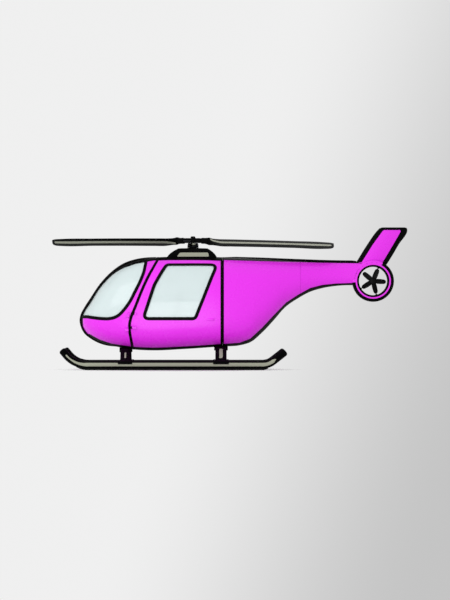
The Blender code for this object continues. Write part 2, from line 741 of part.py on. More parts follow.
def rotor_head():
    top = ROTOR_Z - HUB_HALF_HEIGHT - SEAT_GAP
    mast = rod("mast", (0, 0, 2.4455), (0, 0, top), MAST_RADIUS, steps=24, kind=GREY)
    ring = rod("swashplate", (0, 0, SWASHPLATE_TOP - 0.024), (0, 0, SWASHPLATE_TOP), 0.122, steps=24)
    cut(ring, rod("bore", (0, 0, 2.4), (0, 0, 2.6), MAST_RADIUS + 0.0005, steps=24))
    finish(ring, STEEL)
    low, high = ROTOR_Z - HUB_HALF_HEIGHT, ROTOR_Z + HUB_HALF_HEIGHT
    half = BLADE_ROOT_X - SEAT_GAP
    hub = box("rotor_hub", (-half, -0.062, low), (half, 0.062, high), bevel=0.012)
    join(hub, rod("trunnion", (0, -0.095, ROTOR_Z), (0, 0.095, ROTOR_Z), 0.030, steps=12))
    join(hub, rod("cap", (0, 0, ROTOR_Z), (0, 0, ROTOR_Z + 0.098), 0.058, 0.046, steps=20))
    finish(hub, STEEL)
    return [mast, ring, hub]


def airfoil(chord, thickness, steps=6):
    """(across, up) points round a symmetrical airfoil, from its nose over the top and back below."""
    shares = [(1 - math.cos(math.pi * i / steps)) / 2 for i in range(steps + 1)]
    powers = ((0.5, 0.2969), (1, -0.126), (2, -0.3516), (3, 0.2843), (4, -0.1015))
    half = [5 * thickness * sum(factor * s**power for power, factor in powers) for s in shares]
    half[-1] = max(half[-1], 0.0015)
    top = [((0.27 - s) * chord, h) for s, h in zip(shares, half)]
    return [*top, *[(across, -up) for across, up in reversed(top[1:])]]


def blade_ring(x, chord, thickness, pitch, teeter):
    """One ring of a blade that points along -X, its leading edge towards -Y."""
    turned = Matrix.Rotation(pitch, 2)
    rise = teeter * x - BLADE_DROOP * (x / ROTOR_RADIUS) ** 2
    ring = []
    for across, up in airfoil(chord, thickness):
        across, up = turned @ Vector((across, up))
        ring.append((-x, -across, ROTOR_Z + up + rise))
    return ring


def main_blade(word, teeter):
    """A blade with its grip and pitch horn, and the link to the horn. Both point along -X."""
    # (radius from the mast, chord, thickness, pitch in degrees): the root is a round grip
    stations = (
        (BLADE_ROOT_X, 0.090, 0.090, 20.0),
        (0.330, 0.090, 0.090, 20.0),
        (0.430, 0.200, 0.070, 20.0),
        (0.580, BLADE_CHORD * 0.95, 0.050, 20.0),
        (1.300, BLADE_CHORD, 0.048, 19.5),
        (2.100, BLADE_CHORD, 0.046, 19.0),
        (2.780, BLADE_CHORD, 0.042, 18.5),
        (2.905, BLADE_CHORD * 0.86, 0.034, 18.5),
        (ROTOR_RADIUS, BLADE_CHORD * 0.55, 0.018, 18.5),
    )
    rings = [blade_ring(x, chord, thick, math.radians(pitch), teeter) for x, chord, thick, pitch in stations]
    blade = ring_loft(f"main_blade_{word}", rings)
    low, high = ROTOR_Z - HORN_HALF_HEIGHT, ROTOR_Z + HORN_HALF_HEIGHT
    join(blade, box("pitch_horn", (-0.235, -0.118, low), (-0.200, 0.0, high), bevel=0.004))
    join(blade, box("horn_end", (-0.235, -0.118, low), (-0.050, -0.080, high), bevel=0.004))
    finish(blade, GREY)
    x, y = PITCH_LINK_PLACE
    ends = (x, y, SWASHPLATE_TOP + SEAT_GAP), (x, y, low - SEAT_GAP)
    link = rod(f"pitch_link_{word}", *ends, 0.009, steps=10)
    finish(link, STEEL)
    return [blade, link]


def skid_path():
    """The skid's axis from the raised front tip to the raised rear tip, as (x, z)."""
    points = []
    for bend_x, radius, angle, straight, direction in (
        (SKID_FRONT_BEND, 0.550, 50, 0.110, -1),
        (SKID_REAR_BEND, 0.350, 38, 0.290, 1),
    ):
        arc = []
        for step in range(6):
            turn = math.radians(angle) * step / 5
            x = bend_x + direction * radius * math.sin(turn)
            arc.append((x, SKID_AXIS_Z + radius * (1 - math.cos(turn))))
        x, z = arc[-1]
        turn = math.radians(angle)
        arc.append((x + direction * straight * math.cos(turn), z + straight * math.sin(turn)))
        points = [*points, *(reversed(arc) if direction < 0 else arc)]
    return points


def skid_gear():
    steps = 16
    path = [(x, -SKID_Y, z) for x, z in skid_path()]
    rings = tube_rings(path, (0, 1, 0), steps, (SKID_RADIUS, SKID_RADIUS))
    for end, inward in ((0, 1), (-1, -1)):
        centre = Vector(path[end])
        outward = (centre - Vector(path[end + inward])).normalized() * 0.020
        cap = [centre + (p - centre) * 0.72 + outward for p in rings[end]]
        rings.insert(0 if end == 0 else len(rings), cap)
    skid = ring_loft("skid_left", rings, GREY)
    mirrored(skid, "skid_right")

    # The shoe thins out where the skid starts to rise
    turn = math.radians(14)
    groove = (SKID_RADIUS + SEAT_GAP) / math.cos(turn / 2)
    frames = path_frames(path, Vector((0, 1, 0)))[SHOE_FIRST_POINT:]
    rings = []
    for (point, up), thickness in zip(frames, (0.006, 0.022, SHOE_THICKNESS, SHOE_THICKNESS, 0.025, 0.008)):
        sole = SKID_RADIUS + thickness
        ring = [(-0.045, sole), (0.045, sole), (0.050, sole - 0.010)]
        ring += [(groove * math.sin(turn * step), groove * math.cos(turn * step)) for step in range(3, -4, -1)]
        ring.append((-0.050, sole - 0.010))
        rings.append([point + Vector((0, across, 0)) - up * down for across, down in ring])
    shoe = ring_loft("skid_shoe_left", rings, RUBBER)
    mirrored(shoe, "skid_shoe_right")


def cross_tube(name, x, belly_z, half_chord):
    """An arched tube across the belly, with a saddle on each skid and two clamps to the belly."""
    run_z = belly_z - LEG_HALF_THICKNESS - 0.0040
    half_path = [(0.420, run_z), (0.500, run_z - 0.012), (0.560, run_z - 0.045), (SKID_Y, SKID_AXIS_Z + 0.058)]
    path = [(x, -y, z) for y, z in reversed(half_path)] + [(x, y, z) for y, z in half_path]
    tube = ring_loft(name, tube_rings(path, (1, 0, 0), 14, (half_chord, LEG_HALF_THICKNESS)))
    clamp, saddle = half_chord + CLAMP_OVERHANG, half_chord + SADDLE_OVERHANG
    for side in (-1, 1):
        y = side * SKID_Y
        axis = (x - saddle, y, SKID_AXIS_Z), (x + saddle, y, SKID_AXIS_Z)
        collar = rod("collar", *axis, SKID_RADIUS + 0.016, steps=16, turn=math.pi / 16)
        cut(collar, box("collar_base", (x - 0.2, y - 0.2, -0.1), (x + 0.2, y + 0.2, SKID_AXIS_Z + 0.012)))
        join(tube, collar)
        near, far = sorted((side * 0.200, side * 0.300))
        join(tube, box("clamp", (x - clamp, near, run_z - 0.040), (x + clamp, far, belly_z + 0.080)))
    for side in (-1, 1):
        axis = (x - 0.3, side * SKID_Y, SKID_AXIS_Z), (x + 0.3, side * SKID_Y, SKID_AXIS_Z)
        cut(tube, rod("skid_bore", *axis, (SKID_RADIUS + SEAT_GAP) / math.cos(math.pi / 32), steps=32))
    cut(tube, skin("belly_seat", 0.0005))
    finish(tube, GREY)


def seats():
    """Two front seats and a rear bench: boxes of trim with cushions and backs in cloth."""
    for name, front, back in (("front_seat_box", -0.960, -0.420), ("rear_seat_box", 0.080, 0.610)):
        seat_box = box(name, (front, -0.490, FLOOR_TOP + SEAT_GAP), (back, 0.490, 0.860))
        finish(keep(seat_box, skin("inside", -WALL - 0.020)), TRIM)
    for side, word in ((-1, "left"), (1, "right")):
        y_low, y_high = sorted((side * 0.050, side * 0.480))
        box(f"front_cushion_{word}", (-0.970, y_low, 0.8603), (-0.480, y_high, 0.965), CLOTH, bevel=0.030)
        top = [(-0.215, 1.640), (-0.250, 1.680), (-0.305, 1.660)]
        prism(f"front_back_{word}", [(-0.478, 0.8603), (-0.380, 0.8603), *top], y_low, y_high, kind=CLOTH)
    back = BULKHEAD_X - BULKHEAD_THICKNESS - SEAT_GAP
    rear_outline = [(0.5215, 0.8603), (back, 0.8603), (back, 1.620), (0.590, 1.650), (0.560, 1.620)]
    box("rear_cushion", (0.060, -0.480, 0.8603), (0.520, 0.480, 0.965), CLOTH, bevel=0.030)
    prism("rear_back", rear_outline, -0.480, 0.480, kind=CLOTH)


def cockpit():
    """The instrument pedestal and the pilots' controls."""
    z = FLOOR_TOP + SEAT_GAP
    front = [(-1.640, 1.120), (-1.780, 1.150), (-1.840, 1.090), (-1.820, 0.900)]
    side_view = [(-1.760, z), (-1.420, z), (-1.480, 0.860), (-1.560, 0.960), *front]
    panel = prism("instrument_panel", side_view, -0.130, 0.130)
    hood = box("hood", (-1.820, -0.310, 0.940), (-1.600, 0.310, 1.140), bevel=0.02)
    finish(join(panel, hood), BLACK)
    for side, word in ((-1, "left"), (1, "right")):
        y = side * 0.270
        points = [(-1.160, z), (-1.160, 0.660), (-1.190, 0.800), (-1.120, 0.930), (-1.100, 1.040)]
        path = [(x, y, height) for x, height in points]
        stick = ring_loft(f"cyclic_{word}", tube_rings(path, (0, 1, 0), 8, (0.014, 0.014)))
        join(stick, rod("boot", (-1.160, y, z), (-1.160, y, z + 0.035), 0.055, 0.030, steps=12))
        join(stick, rod("grip", (-1.124, y, 0.935), (-1.096, y, 1.060), 0.021, steps=10))
        finish(stick, BLACK)
        shaft = rod(f"pedals_{word}", (-1.520, y - 0.110, 0.660), (-1.520, y + 0.110, 0.660), 0.016, steps=10)
        for foot in (-0.075, 0.075):
            join(shaft, box("foot_pad", (-1.560, y + foot - 0.040, 0.740), (-1.545, y + foot + 0.040, 0.850)))
            join(shaft, rod("pedal_arm", (-1.520, y + foot, 0.660), (-1.550, y + foot, 0.780), 0.010, steps=8))
            join(shaft, box("pedal_foot", (-1.540, y + foot - 0.015, z), (-1.500, y + foot + 0.015, 0.662)))
        finish(shaft, STEEL)
    path = [(-0.560, 0, 0.900), (-0.760, 0, 0.955), (-0.990, 0, 1.040)]
    lever = ring_loft("collective", tube_rings(path, (0, 1, 0), 8, (0.014, 0.014)))
    join(lever, rod("twist_grip", (-0.880, 0, 0.999), (-1.000, 0, 1.0437), 0.021, steps=10))
    join(lever, box("lever_foot", (-0.590, -0.030, 0.8603), (-0.520, 0.030, 0.925)))
    finish(lever, BLACK)


def exhaust():
    """A short open pipe that leaves the right side of the rear fuselage."""
    start, end = Vector((1.420, 0.40, 1.15)), Vector((1.640, 0.78, 1.06))
    pipe = rod("exhaust_pipe", start, end, 0.058, steps=20)
    ahead = (end - start).normalized()
    join(pipe, rod("flange", start, Vector((1.500, 0.538, 1.1173)) + ahead * 0.045, 0.085, steps=20))
    cut(pipe, rod("pipe_bore", start, end + ahead * 0.1, 0.050, steps=20), skin("side_seat", 0.0005))
    finish(pipe, STEEL)


def empty(name, place, parent=None):
    made = bpy.data.objects.new(name, None)
    bpy.context.scene.collection.objects.link(made)
    made.location = place
    made.parent = parent
    return made


def carry(pieces, holder, place=(0, 0, 0)):
    """Parents the pieces to an empty at a place, which is then their origin."""
    for piece in pieces:
        piece.data.transform(Matrix.Translation(-Vector(place)))
        piece.parent = holder


def main():
    for obj in list(bpy.data.objects):
        bpy.data.objects.remove(obj)

    nose, door_skin = cabin_shell()
    nose_hinges(nose)
    belly_lamp(nose)
    windshield_pane()
    left_door = door(door_skin)
    right_door = [mirrored(left_door[0], "door_right"), mirrored(left_door[1], "door_window_right")]
    cabin_floor()
    rear_fuselage()
    engine()
    nose_strip()
    shaft_cover()
    tail_boom()
    tail_shroud()
    vertical_fin()
    fan_carrier()
    fan = [tail_fan()]
    mast_fairing()
    rotor = rotor_head()
    rear_pieces = main_blade("rear", -BLADE_TEETER)
    for piece in rear_pieces:
        piece.data.transform(Matrix.Rotation(math.pi, 4, "Z"))
    rotor += [*main_blade("front", BLADE_TEETER), *rear_pieces]
    skid_gear()
    for row, word in zip(CROSS_TUBE_STATIONS, ("front", "rear")):
        cross_tube(f"cross_tube_{word}", *row)
    seats()
    cockpit()
    exhaust()

    airframe = empty("airframe", (-MIDDLE_X, 0, 0))
    places = (
        (left_door, "left_door_hinge", (HINGE_X, -HINGE_Y, 0)),
        (right_door, "right_door_hinge", (HINGE_X, HINGE_Y, 0)),
        (rotor, "rotor_axis", (0, 0, 0)),
        (fan, "fan_axis", (FAN_X, 0, FAN_Z)),
    )
    moving = []
    for pieces, name, place in places:
        carry(pieces, empty(name, place, airframe), place)
        moving += pieces
    fixed = [o for o in bpy.context.scene.objects if o.type == "MESH" and o not in moving]
    carry(fixed, airframe)


main()
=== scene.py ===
"""The looks of a light four-seat helicopter with skids and a shrouded tail fan.

The file is laid out as an add-on and is run as a script. Metres, +Z up, nose towards -X, left side towards
-Y. Sizes are given from the rotor's mast, as the aircraft's own drawings would give them, and each finished
piece is then shifted along X to where the frame has the mast.
"""
import json
from math import atan2, copysign, cos, degrees, exp, hypot, pi, radians, sin, sqrt, tan

import bmesh
import bpy
from bpy.props import FloatProperty, FloatVectorProperty, IntProperty, PointerProperty
from mathutils import Matrix, Vector
from mathutils.bvhtree import BVHTree
from mathutils.interpolate import poly_3d_calc

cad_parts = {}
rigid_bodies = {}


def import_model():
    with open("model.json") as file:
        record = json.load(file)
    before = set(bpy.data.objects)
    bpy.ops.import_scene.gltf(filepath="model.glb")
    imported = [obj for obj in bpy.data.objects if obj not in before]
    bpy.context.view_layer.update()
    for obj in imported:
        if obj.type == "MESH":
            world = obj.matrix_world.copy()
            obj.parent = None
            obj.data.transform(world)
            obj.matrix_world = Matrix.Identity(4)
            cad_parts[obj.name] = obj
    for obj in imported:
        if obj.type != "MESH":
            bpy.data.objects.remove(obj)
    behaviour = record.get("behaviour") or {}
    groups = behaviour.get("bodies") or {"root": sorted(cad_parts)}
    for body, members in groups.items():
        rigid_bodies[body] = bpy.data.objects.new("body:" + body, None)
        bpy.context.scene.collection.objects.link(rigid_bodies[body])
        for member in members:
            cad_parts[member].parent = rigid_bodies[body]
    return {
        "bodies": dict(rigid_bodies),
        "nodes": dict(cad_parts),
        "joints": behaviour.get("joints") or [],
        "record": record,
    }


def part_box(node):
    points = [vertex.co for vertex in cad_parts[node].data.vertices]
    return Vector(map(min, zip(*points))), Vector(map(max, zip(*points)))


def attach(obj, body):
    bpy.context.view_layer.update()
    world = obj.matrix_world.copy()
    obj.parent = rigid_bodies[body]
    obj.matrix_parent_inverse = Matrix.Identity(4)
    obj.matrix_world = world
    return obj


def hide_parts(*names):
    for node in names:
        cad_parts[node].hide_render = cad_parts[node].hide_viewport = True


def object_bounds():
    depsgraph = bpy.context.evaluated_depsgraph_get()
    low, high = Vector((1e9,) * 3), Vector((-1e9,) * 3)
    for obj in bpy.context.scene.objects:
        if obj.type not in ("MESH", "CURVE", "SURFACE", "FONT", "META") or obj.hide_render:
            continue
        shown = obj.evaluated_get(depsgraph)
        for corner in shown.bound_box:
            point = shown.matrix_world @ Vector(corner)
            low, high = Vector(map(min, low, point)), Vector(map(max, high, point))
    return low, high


bl_info = {
    "name": "Light Helicopter Looks",
    "version": (1, 0, 0),
    "blender": (4, 5, 0),
    "location": "View3D > Sidebar > Helicopter",
    "description": "Builds the finished surfaces of a light helicopter round its packed frame",
    "category": "Object",
}

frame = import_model()
CAD_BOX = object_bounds()
JOINT_PLACES = {joint["name"]: Vector(joint["pos_m"]) for joint in frame["joints"]}
MAST_X = JOINT_PLACES["main_rotor_spin"].x
ROTOR_Z = JOINT_PLACES["main_rotor_spin"].z
FAN_X = JOINT_PLACES["tail_fan_spin"].x - MAST_X
FAN_Z = JOINT_PLACES["tail_fan_spin"].z
HINGE_X = JOINT_PLACES["left_door_hinge"].x - MAST_X
HINGE_Y = -JOINT_PLACES["left_door_hinge"].y
ROTOR_RADIUS = MAST_X - CAD_BOX[0].x

WALL = 0.040
GLASS_DEPTH, GLASS_THICKNESS = 0.012, 0.008
DOOR_GAP, DOOR_REAR_GAP, DOOR_REAR_TAPER = 0.008, 0.018, 0.025
DOOR_EDGE_Y, DOOR_EDGE_SLOPE = 0.400, 1.3
FRAME_JOIN_X, BOOM_JOIN_X = 0.622, 2.250
SEAM = 0.0015  # half the joint line between two fixed panels
TRIM_ROUGHNESS = 0.68
OUTSIDE, INSIDE, EDGE = 0, 1, 2  # material slots of a panel's faces

# The fuselage's sections: (x, top, bottom, half width, height share of the widest line, squareness)
SECTIONS = (
    (-2.335, 1.040, 1.040, 0.000, 0.50, 2.0),
    (-2.275, 1.235, 0.840, 0.245, 0.50, 2.0),
    (-2.160, 1.410, 0.705, 0.400, 0.48, 2.1),
    (-1.950, 1.735, 0.580, 0.560, 0.45, 2.3),
    (-1.700, 2.008, 0.503, 0.655, 0.43, 2.5),
    (-1.450, 2.192, 0.450, 0.705, 0.41, 2.6),
    (-1.200, 2.290, 0.418, 0.730, 0.40, 2.7),
    (-0.820, 2.350, 0.402, 0.745, 0.40, 2.8),
    (-0.200, 2.368, 0.430, 0.750, 0.40, 2.8),
    (0.610, 2.358, 0.484, 0.730, 0.40, 2.7),
    (0.980, 2.343, 0.508, 0.680, 0.41, 2.6),
    (1.200, 2.335, 0.572, 0.640, 0.42, 2.5),
    (1.450, 2.325, 0.775, 0.575, 0.44, 2.4),
    (1.700, 2.313, 1.040, 0.500, 0.46, 2.3),
    (1.950, 2.300, 1.320, 0.420, 0.48, 2.2),
    (2.200, 2.290, 1.492, 0.350, 0.50, 2.1),
    (2.460, 2.280, 1.632, 0.285, 0.50, 2.1),
    (2.710, 2.271, 1.708, 0.235, 0.50, 2.1),
    (3.000, 2.264, 1.755, 0.195, 0.50, 2.1),
    (3.630, 2.258, 1.772, 0.165, 0.50, 2.1),
)

# Where the black paint on the top and underneath ends, seen from the side: (x, z)
UPPER_PAINT_LINE = (
    (-2.400, 1.740), (-1.950, 1.740), (-1.700, 1.975), (-1.600, 2.045), (-1.450, 2.130), (-1.200, 2.215),
    (-0.820, 2.285), (-0.200, 2.305), (0.610, 2.296),
    (0.980, 2.286), (1.700, 2.266), (2.200, 2.256), (2.710, 2.240), (3.630, 2.226),
)
LOWER_PAINT_LINE = (
    (-2.400, 0.780), (-2.160, 0.745), (-1.950, 0.630), (-1.700, 0.548), (-1.200, 0.474), (-0.820, 0.446),
    (-0.200, 0.484), (0.300, 0.515), (0.980, 0.567), (1.200, 0.651), (1.450, 0.882), (1.700, 1.150),
    (1.950, 1.405), (2.200, 1.570), (2.460, 1.712), (2.710, 1.777), (3.000, 1.806), (3.630, 1.826),
)

NOSE_TIP_PAINT_X = -2.306
POST_PAINT_HALF, POST_PAINT_FOOT_Z, POST_PAINT_REAR_X = 0.080, 1.060, -0.980

# Outlines seen from the left side, as (x, z)
DOOR_FRONT_EDGE = (
    (-1.262, 0.468), (-1.315, 0.980), (-1.290, 1.085), (-1.197, 1.320), (-1.071, 1.638), (-0.945, 1.920),
    (-0.820, 2.150), (-0.740, 2.294),
)
DOOR_REAR_X, DOOR_REAR_BOTTOM, DOOR_REAR_TOP = 0.612, 0.546, 2.300
DOOR_WINDOW_CORNERS = ((-1.035, 1.070), (0.050, 1.070), (0.505, 2.200), (-0.550, 2.200), (-0.800, 1.780))
DOOR_WINDOW_ROUNDING = 0.090
WINDSHIELD_EDGE = (
    (-2.163, 1.100), (-1.953, 1.075), (-1.730, 1.072), (-1.620, 1.100), (-1.530, 1.155), (-1.449, 1.239),
    (-1.323, 1.407), (-1.197, 1.648), (-1.071, 1.911), (-1.005, 2.110), (-0.985, 2.240),
)
CENTRE_POST_HALF = 0.028
NOSE_STRIP_EDGE = (
    (-0.780, 2.363), (-1.000, 2.352), (-1.200, 2.320), (-1.450, 2.236), (-1.700, 2.066), (-1.950, 1.806),
    (-2.160, 1.494), (-2.280, 1.310), (-2.360, 1.155), (-2.383, 1.040), (-2.362, 0.915), (-2.280, 0.755),
    (-2.160, 0.655), (-1.950, 0.544), (-1.780, 0.498), (-1.620, 0.482),
)
# (x, half width, height above the skin)
SHAFT_COVER = (
    (0.640, 0.050, 0.006), (0.900, 0.085, 0.026), (2.000, 0.085, 0.036), (3.360, 0.062, 0.036),
    (3.430, 0.045, 0.024),
)


def colour_setting(name, description, default):
    return FloatVectorProperty(
        name=name, description=description, subtype="COLOR_GAMMA", default=default, min=0, max=1,
    )


def length_setting(name, description, default):
    return FloatProperty(name=name, description=description, subtype="DISTANCE", default=default)


class HelicopterPaint(bpy.types.PropertyGroup):
    body: colour_setting("Body", "Gloss enamel of the cabin, boom and fin", (0.930, 0.198, 0.950))
    trim: colour_setting("Black Trim", "Black enamel of roof, belly and edges", (0.016, 0.016, 0.018))
    grey: colour_setting("Grey Parts", "Enamel of the blades, mast cowling and skids", (0.612, 0.620, 0.554))
    glass: colour_setting("Glazing", "Pale tint of the acrylic panes", (0.930, 0.985, 0.985))
    glass_cover: FloatProperty(
        name="Glass Cover", description="How much each face of a pane hides", subtype="FACTOR",
        default=0.60, min=0, max=1,
    )


class HelicopterForm(bpy.types.PropertyGroup):
    section_steps: IntProperty(
        name="Section Steps", description="Rings of the skin between two sections", default=8, min=1,
    )
    ring_steps: IntProperty(
        name="Ring Steps", description="Points in each quarter of a section", default=24, min=3,
    )
    seal_width: length_setting("Window Seal Width", "Rubber round each window", 0.068)
    seal_height: length_setting("Seal Height", "How far the rubber stands off the skin", 0.006)
    door_seal_width: length_setting("Door Seal Width", "Rubber on each side of a door's gap", 0.026)


class HelicopterStage(bpy.types.PropertyGroup):
    light_side: colour_setting("Light Side", "Background towards the nose", (0.940, 0.940, 0.940))
    dark_side: colour_setting("Dark Side", "Background towards the tail", (0.770, 0.770, 0.770))
    camera_distance: length_setting("Camera Distance", "From the lens to the centre plane", 100.0)
    view_height: length_setting("View Height", "Height of the picture at the aircraft", 12.6)


def linear(colour):
    """Turns an sRGB colour, as a hex string or three shares, into linear shares with an alpha of 1."""
    if isinstance(colour, str):
        colour = [int(colour[i:i + 2], 16) / 255 for i in (1, 3, 5)]
    return (*[c / 12.92 if c <= 0.04045 else ((c + 0.055) / 1.055) ** 2.4 for c in colour], 1.0)


def feed(tree, node, inputs):
    """Fills a node's inputs, each with a value, an output, or a node whose first output is linked."""
    for name, value in inputs.items():
        if isinstance(value, bpy.types.Node):
            value = next(socket for socket in value.outputs if socket.enabled)
        if isinstance(value, bpy.types.NodeSocket):
            tree.links.new(value, node.inputs[name])
        else:
            node.inputs[name].default_value = value
    return node


def add(tree, kind, inputs=None, **settings):
    """Adds a node with its settings and its inputs."""
    node = tree.nodes.new(kind)
    for name, value in settings.items():
        setattr(node, name, value)
    return feed(tree, node, inputs or {})


def new_material(name, surface):
    """A material with one Principled shader. Returns it, its tree, its shader and its Object coordinates."""
    made = bpy.data.materials.new(name)
    made.use_nodes = True
    tree = made.node_tree
    shader = feed(tree, tree.nodes["Principled BSDF"], surface)
    return made, tree, shader, add(tree, "ShaderNodeTexCoord").outputs["Object"]


def patches(tree, place, scale, low, high, detail=4.0):
    """Soft patches between two values."""
    cloud = add(tree, "ShaderNodeTexNoise", {"Vector": place, "Scale": scale, "Detail": detail})
    return add(tree, "ShaderNodeMapRange", {"Value": cloud, "To Min": low, "To Max": high})


def trim_mask(tree):
    """1 where the mesh's "trim" distance is above 0."""
    edge = add(tree, "ShaderNodeAttribute", attribute_name="trim").outputs["Fac"]
    return add(tree, "ShaderNodeMath", {0: edge, 1: 0.0}, operation="GREATER_THAN")


FULL_GLINT, TRIM_GLINT = (1, 1, 1, 1), (0.15, 0.15, 0.15, 1)


def painted(name, colour, roughness, specular):
    """Two-colour enamel: the matt trim colour lies where the mesh's "trim" distance is above 0."""
    paint = bpy.context.scene.helicopter_paint
    made, tree, shader, place = new_material(name, {"Specular IOR Level": specular})
    masked = trim_mask(tree)
    tone = add(tree, "ShaderNodeMix", {
        "Factor": 1.0, "A": linear(getattr(paint, colour)), "B": patches(tree, place, 1.4, 0.98, 1.02, 3.0),
    }, data_type="RGBA", blend_type="MULTIPLY")
    both = {"Factor": masked, "A": tone, "B": linear(paint.trim)}
    glint = {"Factor": masked, "A": FULL_GLINT, "B": TRIM_GLINT}
    gloss = patches(tree, place, 5.0, roughness - 0.05, roughness + 0.07)
    sheen = add(tree, "ShaderNodeMath", {0: masked, 1: TRIM_ROUGHNESS}, operation="MULTIPLY")
    # The orange peel of sprayed enamel is under 1 mm wide, drawn at 4 mm so that it shows
    peel = add(tree, "ShaderNodeTexNoise", {"Vector": place, "Scale": 250.0, "Detail": 1.0})
    feed(tree, shader, {
        "Base Color": add(tree, "ShaderNodeMix", both, data_type="RGBA"),
        "Specular Tint": add(tree, "ShaderNodeMix", glint, data_type="RGBA"),
        "Roughness": add(tree, "ShaderNodeMath", {0: gloss, 1: sheen}, operation="MAXIMUM"),
        "Normal": add(tree, "ShaderNodeBump", {"Height": peel, "Distance": 0.0002, "Strength": 0.08}),
    })
    return made


def acrylic():
    """Cast acrylic sheet with a pale blue tint: sharp reflections over a milky depth.

    A dull black shade band is printed on it where the mesh's "trim" distance is above 0.
    """
    paint = bpy.context.scene.helicopter_paint
    made, tree, shader, place = new_material("tinted_cast_acrylic", {"IOR": 1.49})
    masked = trim_mask(tree)
    gloss = patches(tree, place, 3.0, 0.03, 0.07)
    for socket, clear, band in (
        ("Base Color", linear(paint.glass), linear(paint.trim)), ("Specular Tint", FULL_GLINT, TRIM_GLINT),
    ):
        both = add(tree, "ShaderNodeMix", {"Factor": masked, "A": clear, "B": band}, data_type="RGBA")
        feed(tree, shader, {socket: both})
    for socket, share, start, operation in (
        ("Alpha", paint.glass_cover, None, "MAXIMUM"),
        ("Coat Weight", -0.2, 0.2, "MULTIPLY_ADD"),
        ("Specular IOR Level", -0.45, 0.5, "MULTIPLY_ADD"),
        ("Roughness", TRIM_ROUGHNESS, gloss, "MULTIPLY_ADD"),
    ):
        inputs = {0: masked, 1: share} if start is None else {0: masked, 1: share, 2: start}
        feed(tree, shader, {socket: add(tree, "ShaderNodeMath", inputs, operation=operation)})
    made.surface_render_method = "DITHERED"
    return made


def tinted_steel():
    """Stainless steel that the gas has heated: straw and violet bands over grey, with soot at the mouth."""
    made, tree, shader, place = new_material("heat_tinted_stainless", {"Metallic": 1.0})
    reach = add(tree, "ShaderNodeSeparateXYZ", {"Vector": place}).outputs["Y"]
    drift = add(tree, "ShaderNodeTexNoise", {"Vector": place, "Scale": 14.0, "Detail": 4.0})
    share = add(tree, "ShaderNodeMapRange", {"Value": reach, "From Min": 0.48, "From Max": 0.80})
    mixed = add(tree, "ShaderNodeMath", {0: drift, 1: 0.22, 2: share}, operation="MULTIPLY_ADD")
    ramp = add(tree, "ShaderNodeValToRGB", {"Fac": mixed})
    stops = ((0.10, "#8C8F92"), (0.38, "#A08A58"), (0.55, "#7A5A66"), (0.72, "#4E5A78"), (0.95, "#3C3A38"))
    while len(ramp.color_ramp.elements) < len(stops):
        ramp.color_ramp.elements.new(0.5)
    for element, (at, colour) in zip(ramp.color_ramp.elements, stops):
        element.position, element.color = at, linear(colour)
    feed(tree, shader, {"Base Color": ramp, "Roughness": patches(tree, place, 30.0, 0.28, 0.5)})
    return made


def textured(
    name, surface, pattern=None, tones=None, polish=None, grain=None, relief=None, window=None, fading=None,
    dithered=False,
):
    """A finish with two tones by a pattern, patches of polish, and a relief by a grain or the same pattern.

    The pattern and the grain are (texture, inputs, settings), the polish (scale, low, high), the relief
    (depth, strength), the window the pattern's range, the fading (share of the pattern, scale).
    """
    made, tree, shader, place = new_material(name, surface)

    def drawn(kind, inputs, settings=None):
        node = add(tree, f"ShaderNodeTex{kind}", {"Vector": place, **inputs}, **(settings or {}))
        return node.outputs.get("Fac") or node

    if pattern:
        field = drawn(*pattern)
        if window:
            low, high = window
            field = add(tree, "ShaderNodeMapRange", {"Value": field, "From Min": low, "From Max": high})
        share = field
        if fading:
            fade = drawn("Noise", {"Scale": fading[1], "Detail": 4.0})
            share = add(tree, "ShaderNodeMath", {0: field, 1: fading[0], 2: fade}, operation="MULTIPLY_ADD")
        first, second = (linear(tone) for tone in tones)
        both = add(tree, "ShaderNodeMix", {"Factor": share, "A": first, "B": second}, data_type="RGBA")
        feed(tree, shader, {"Base Color": both})
    if polish:
        feed(tree, shader, {"Roughness": patches(tree, place, *polish)})
    if relief:
        height = drawn(*grain) if grain else field
        bump = {"Height": height, "Distance": relief[0], "Strength": relief[1]}
        feed(tree, shader, {"Normal": add(tree, "ShaderNodeBump", bump)})
    if dithered:
        made.surface_render_method = "DITHERED"
    return made


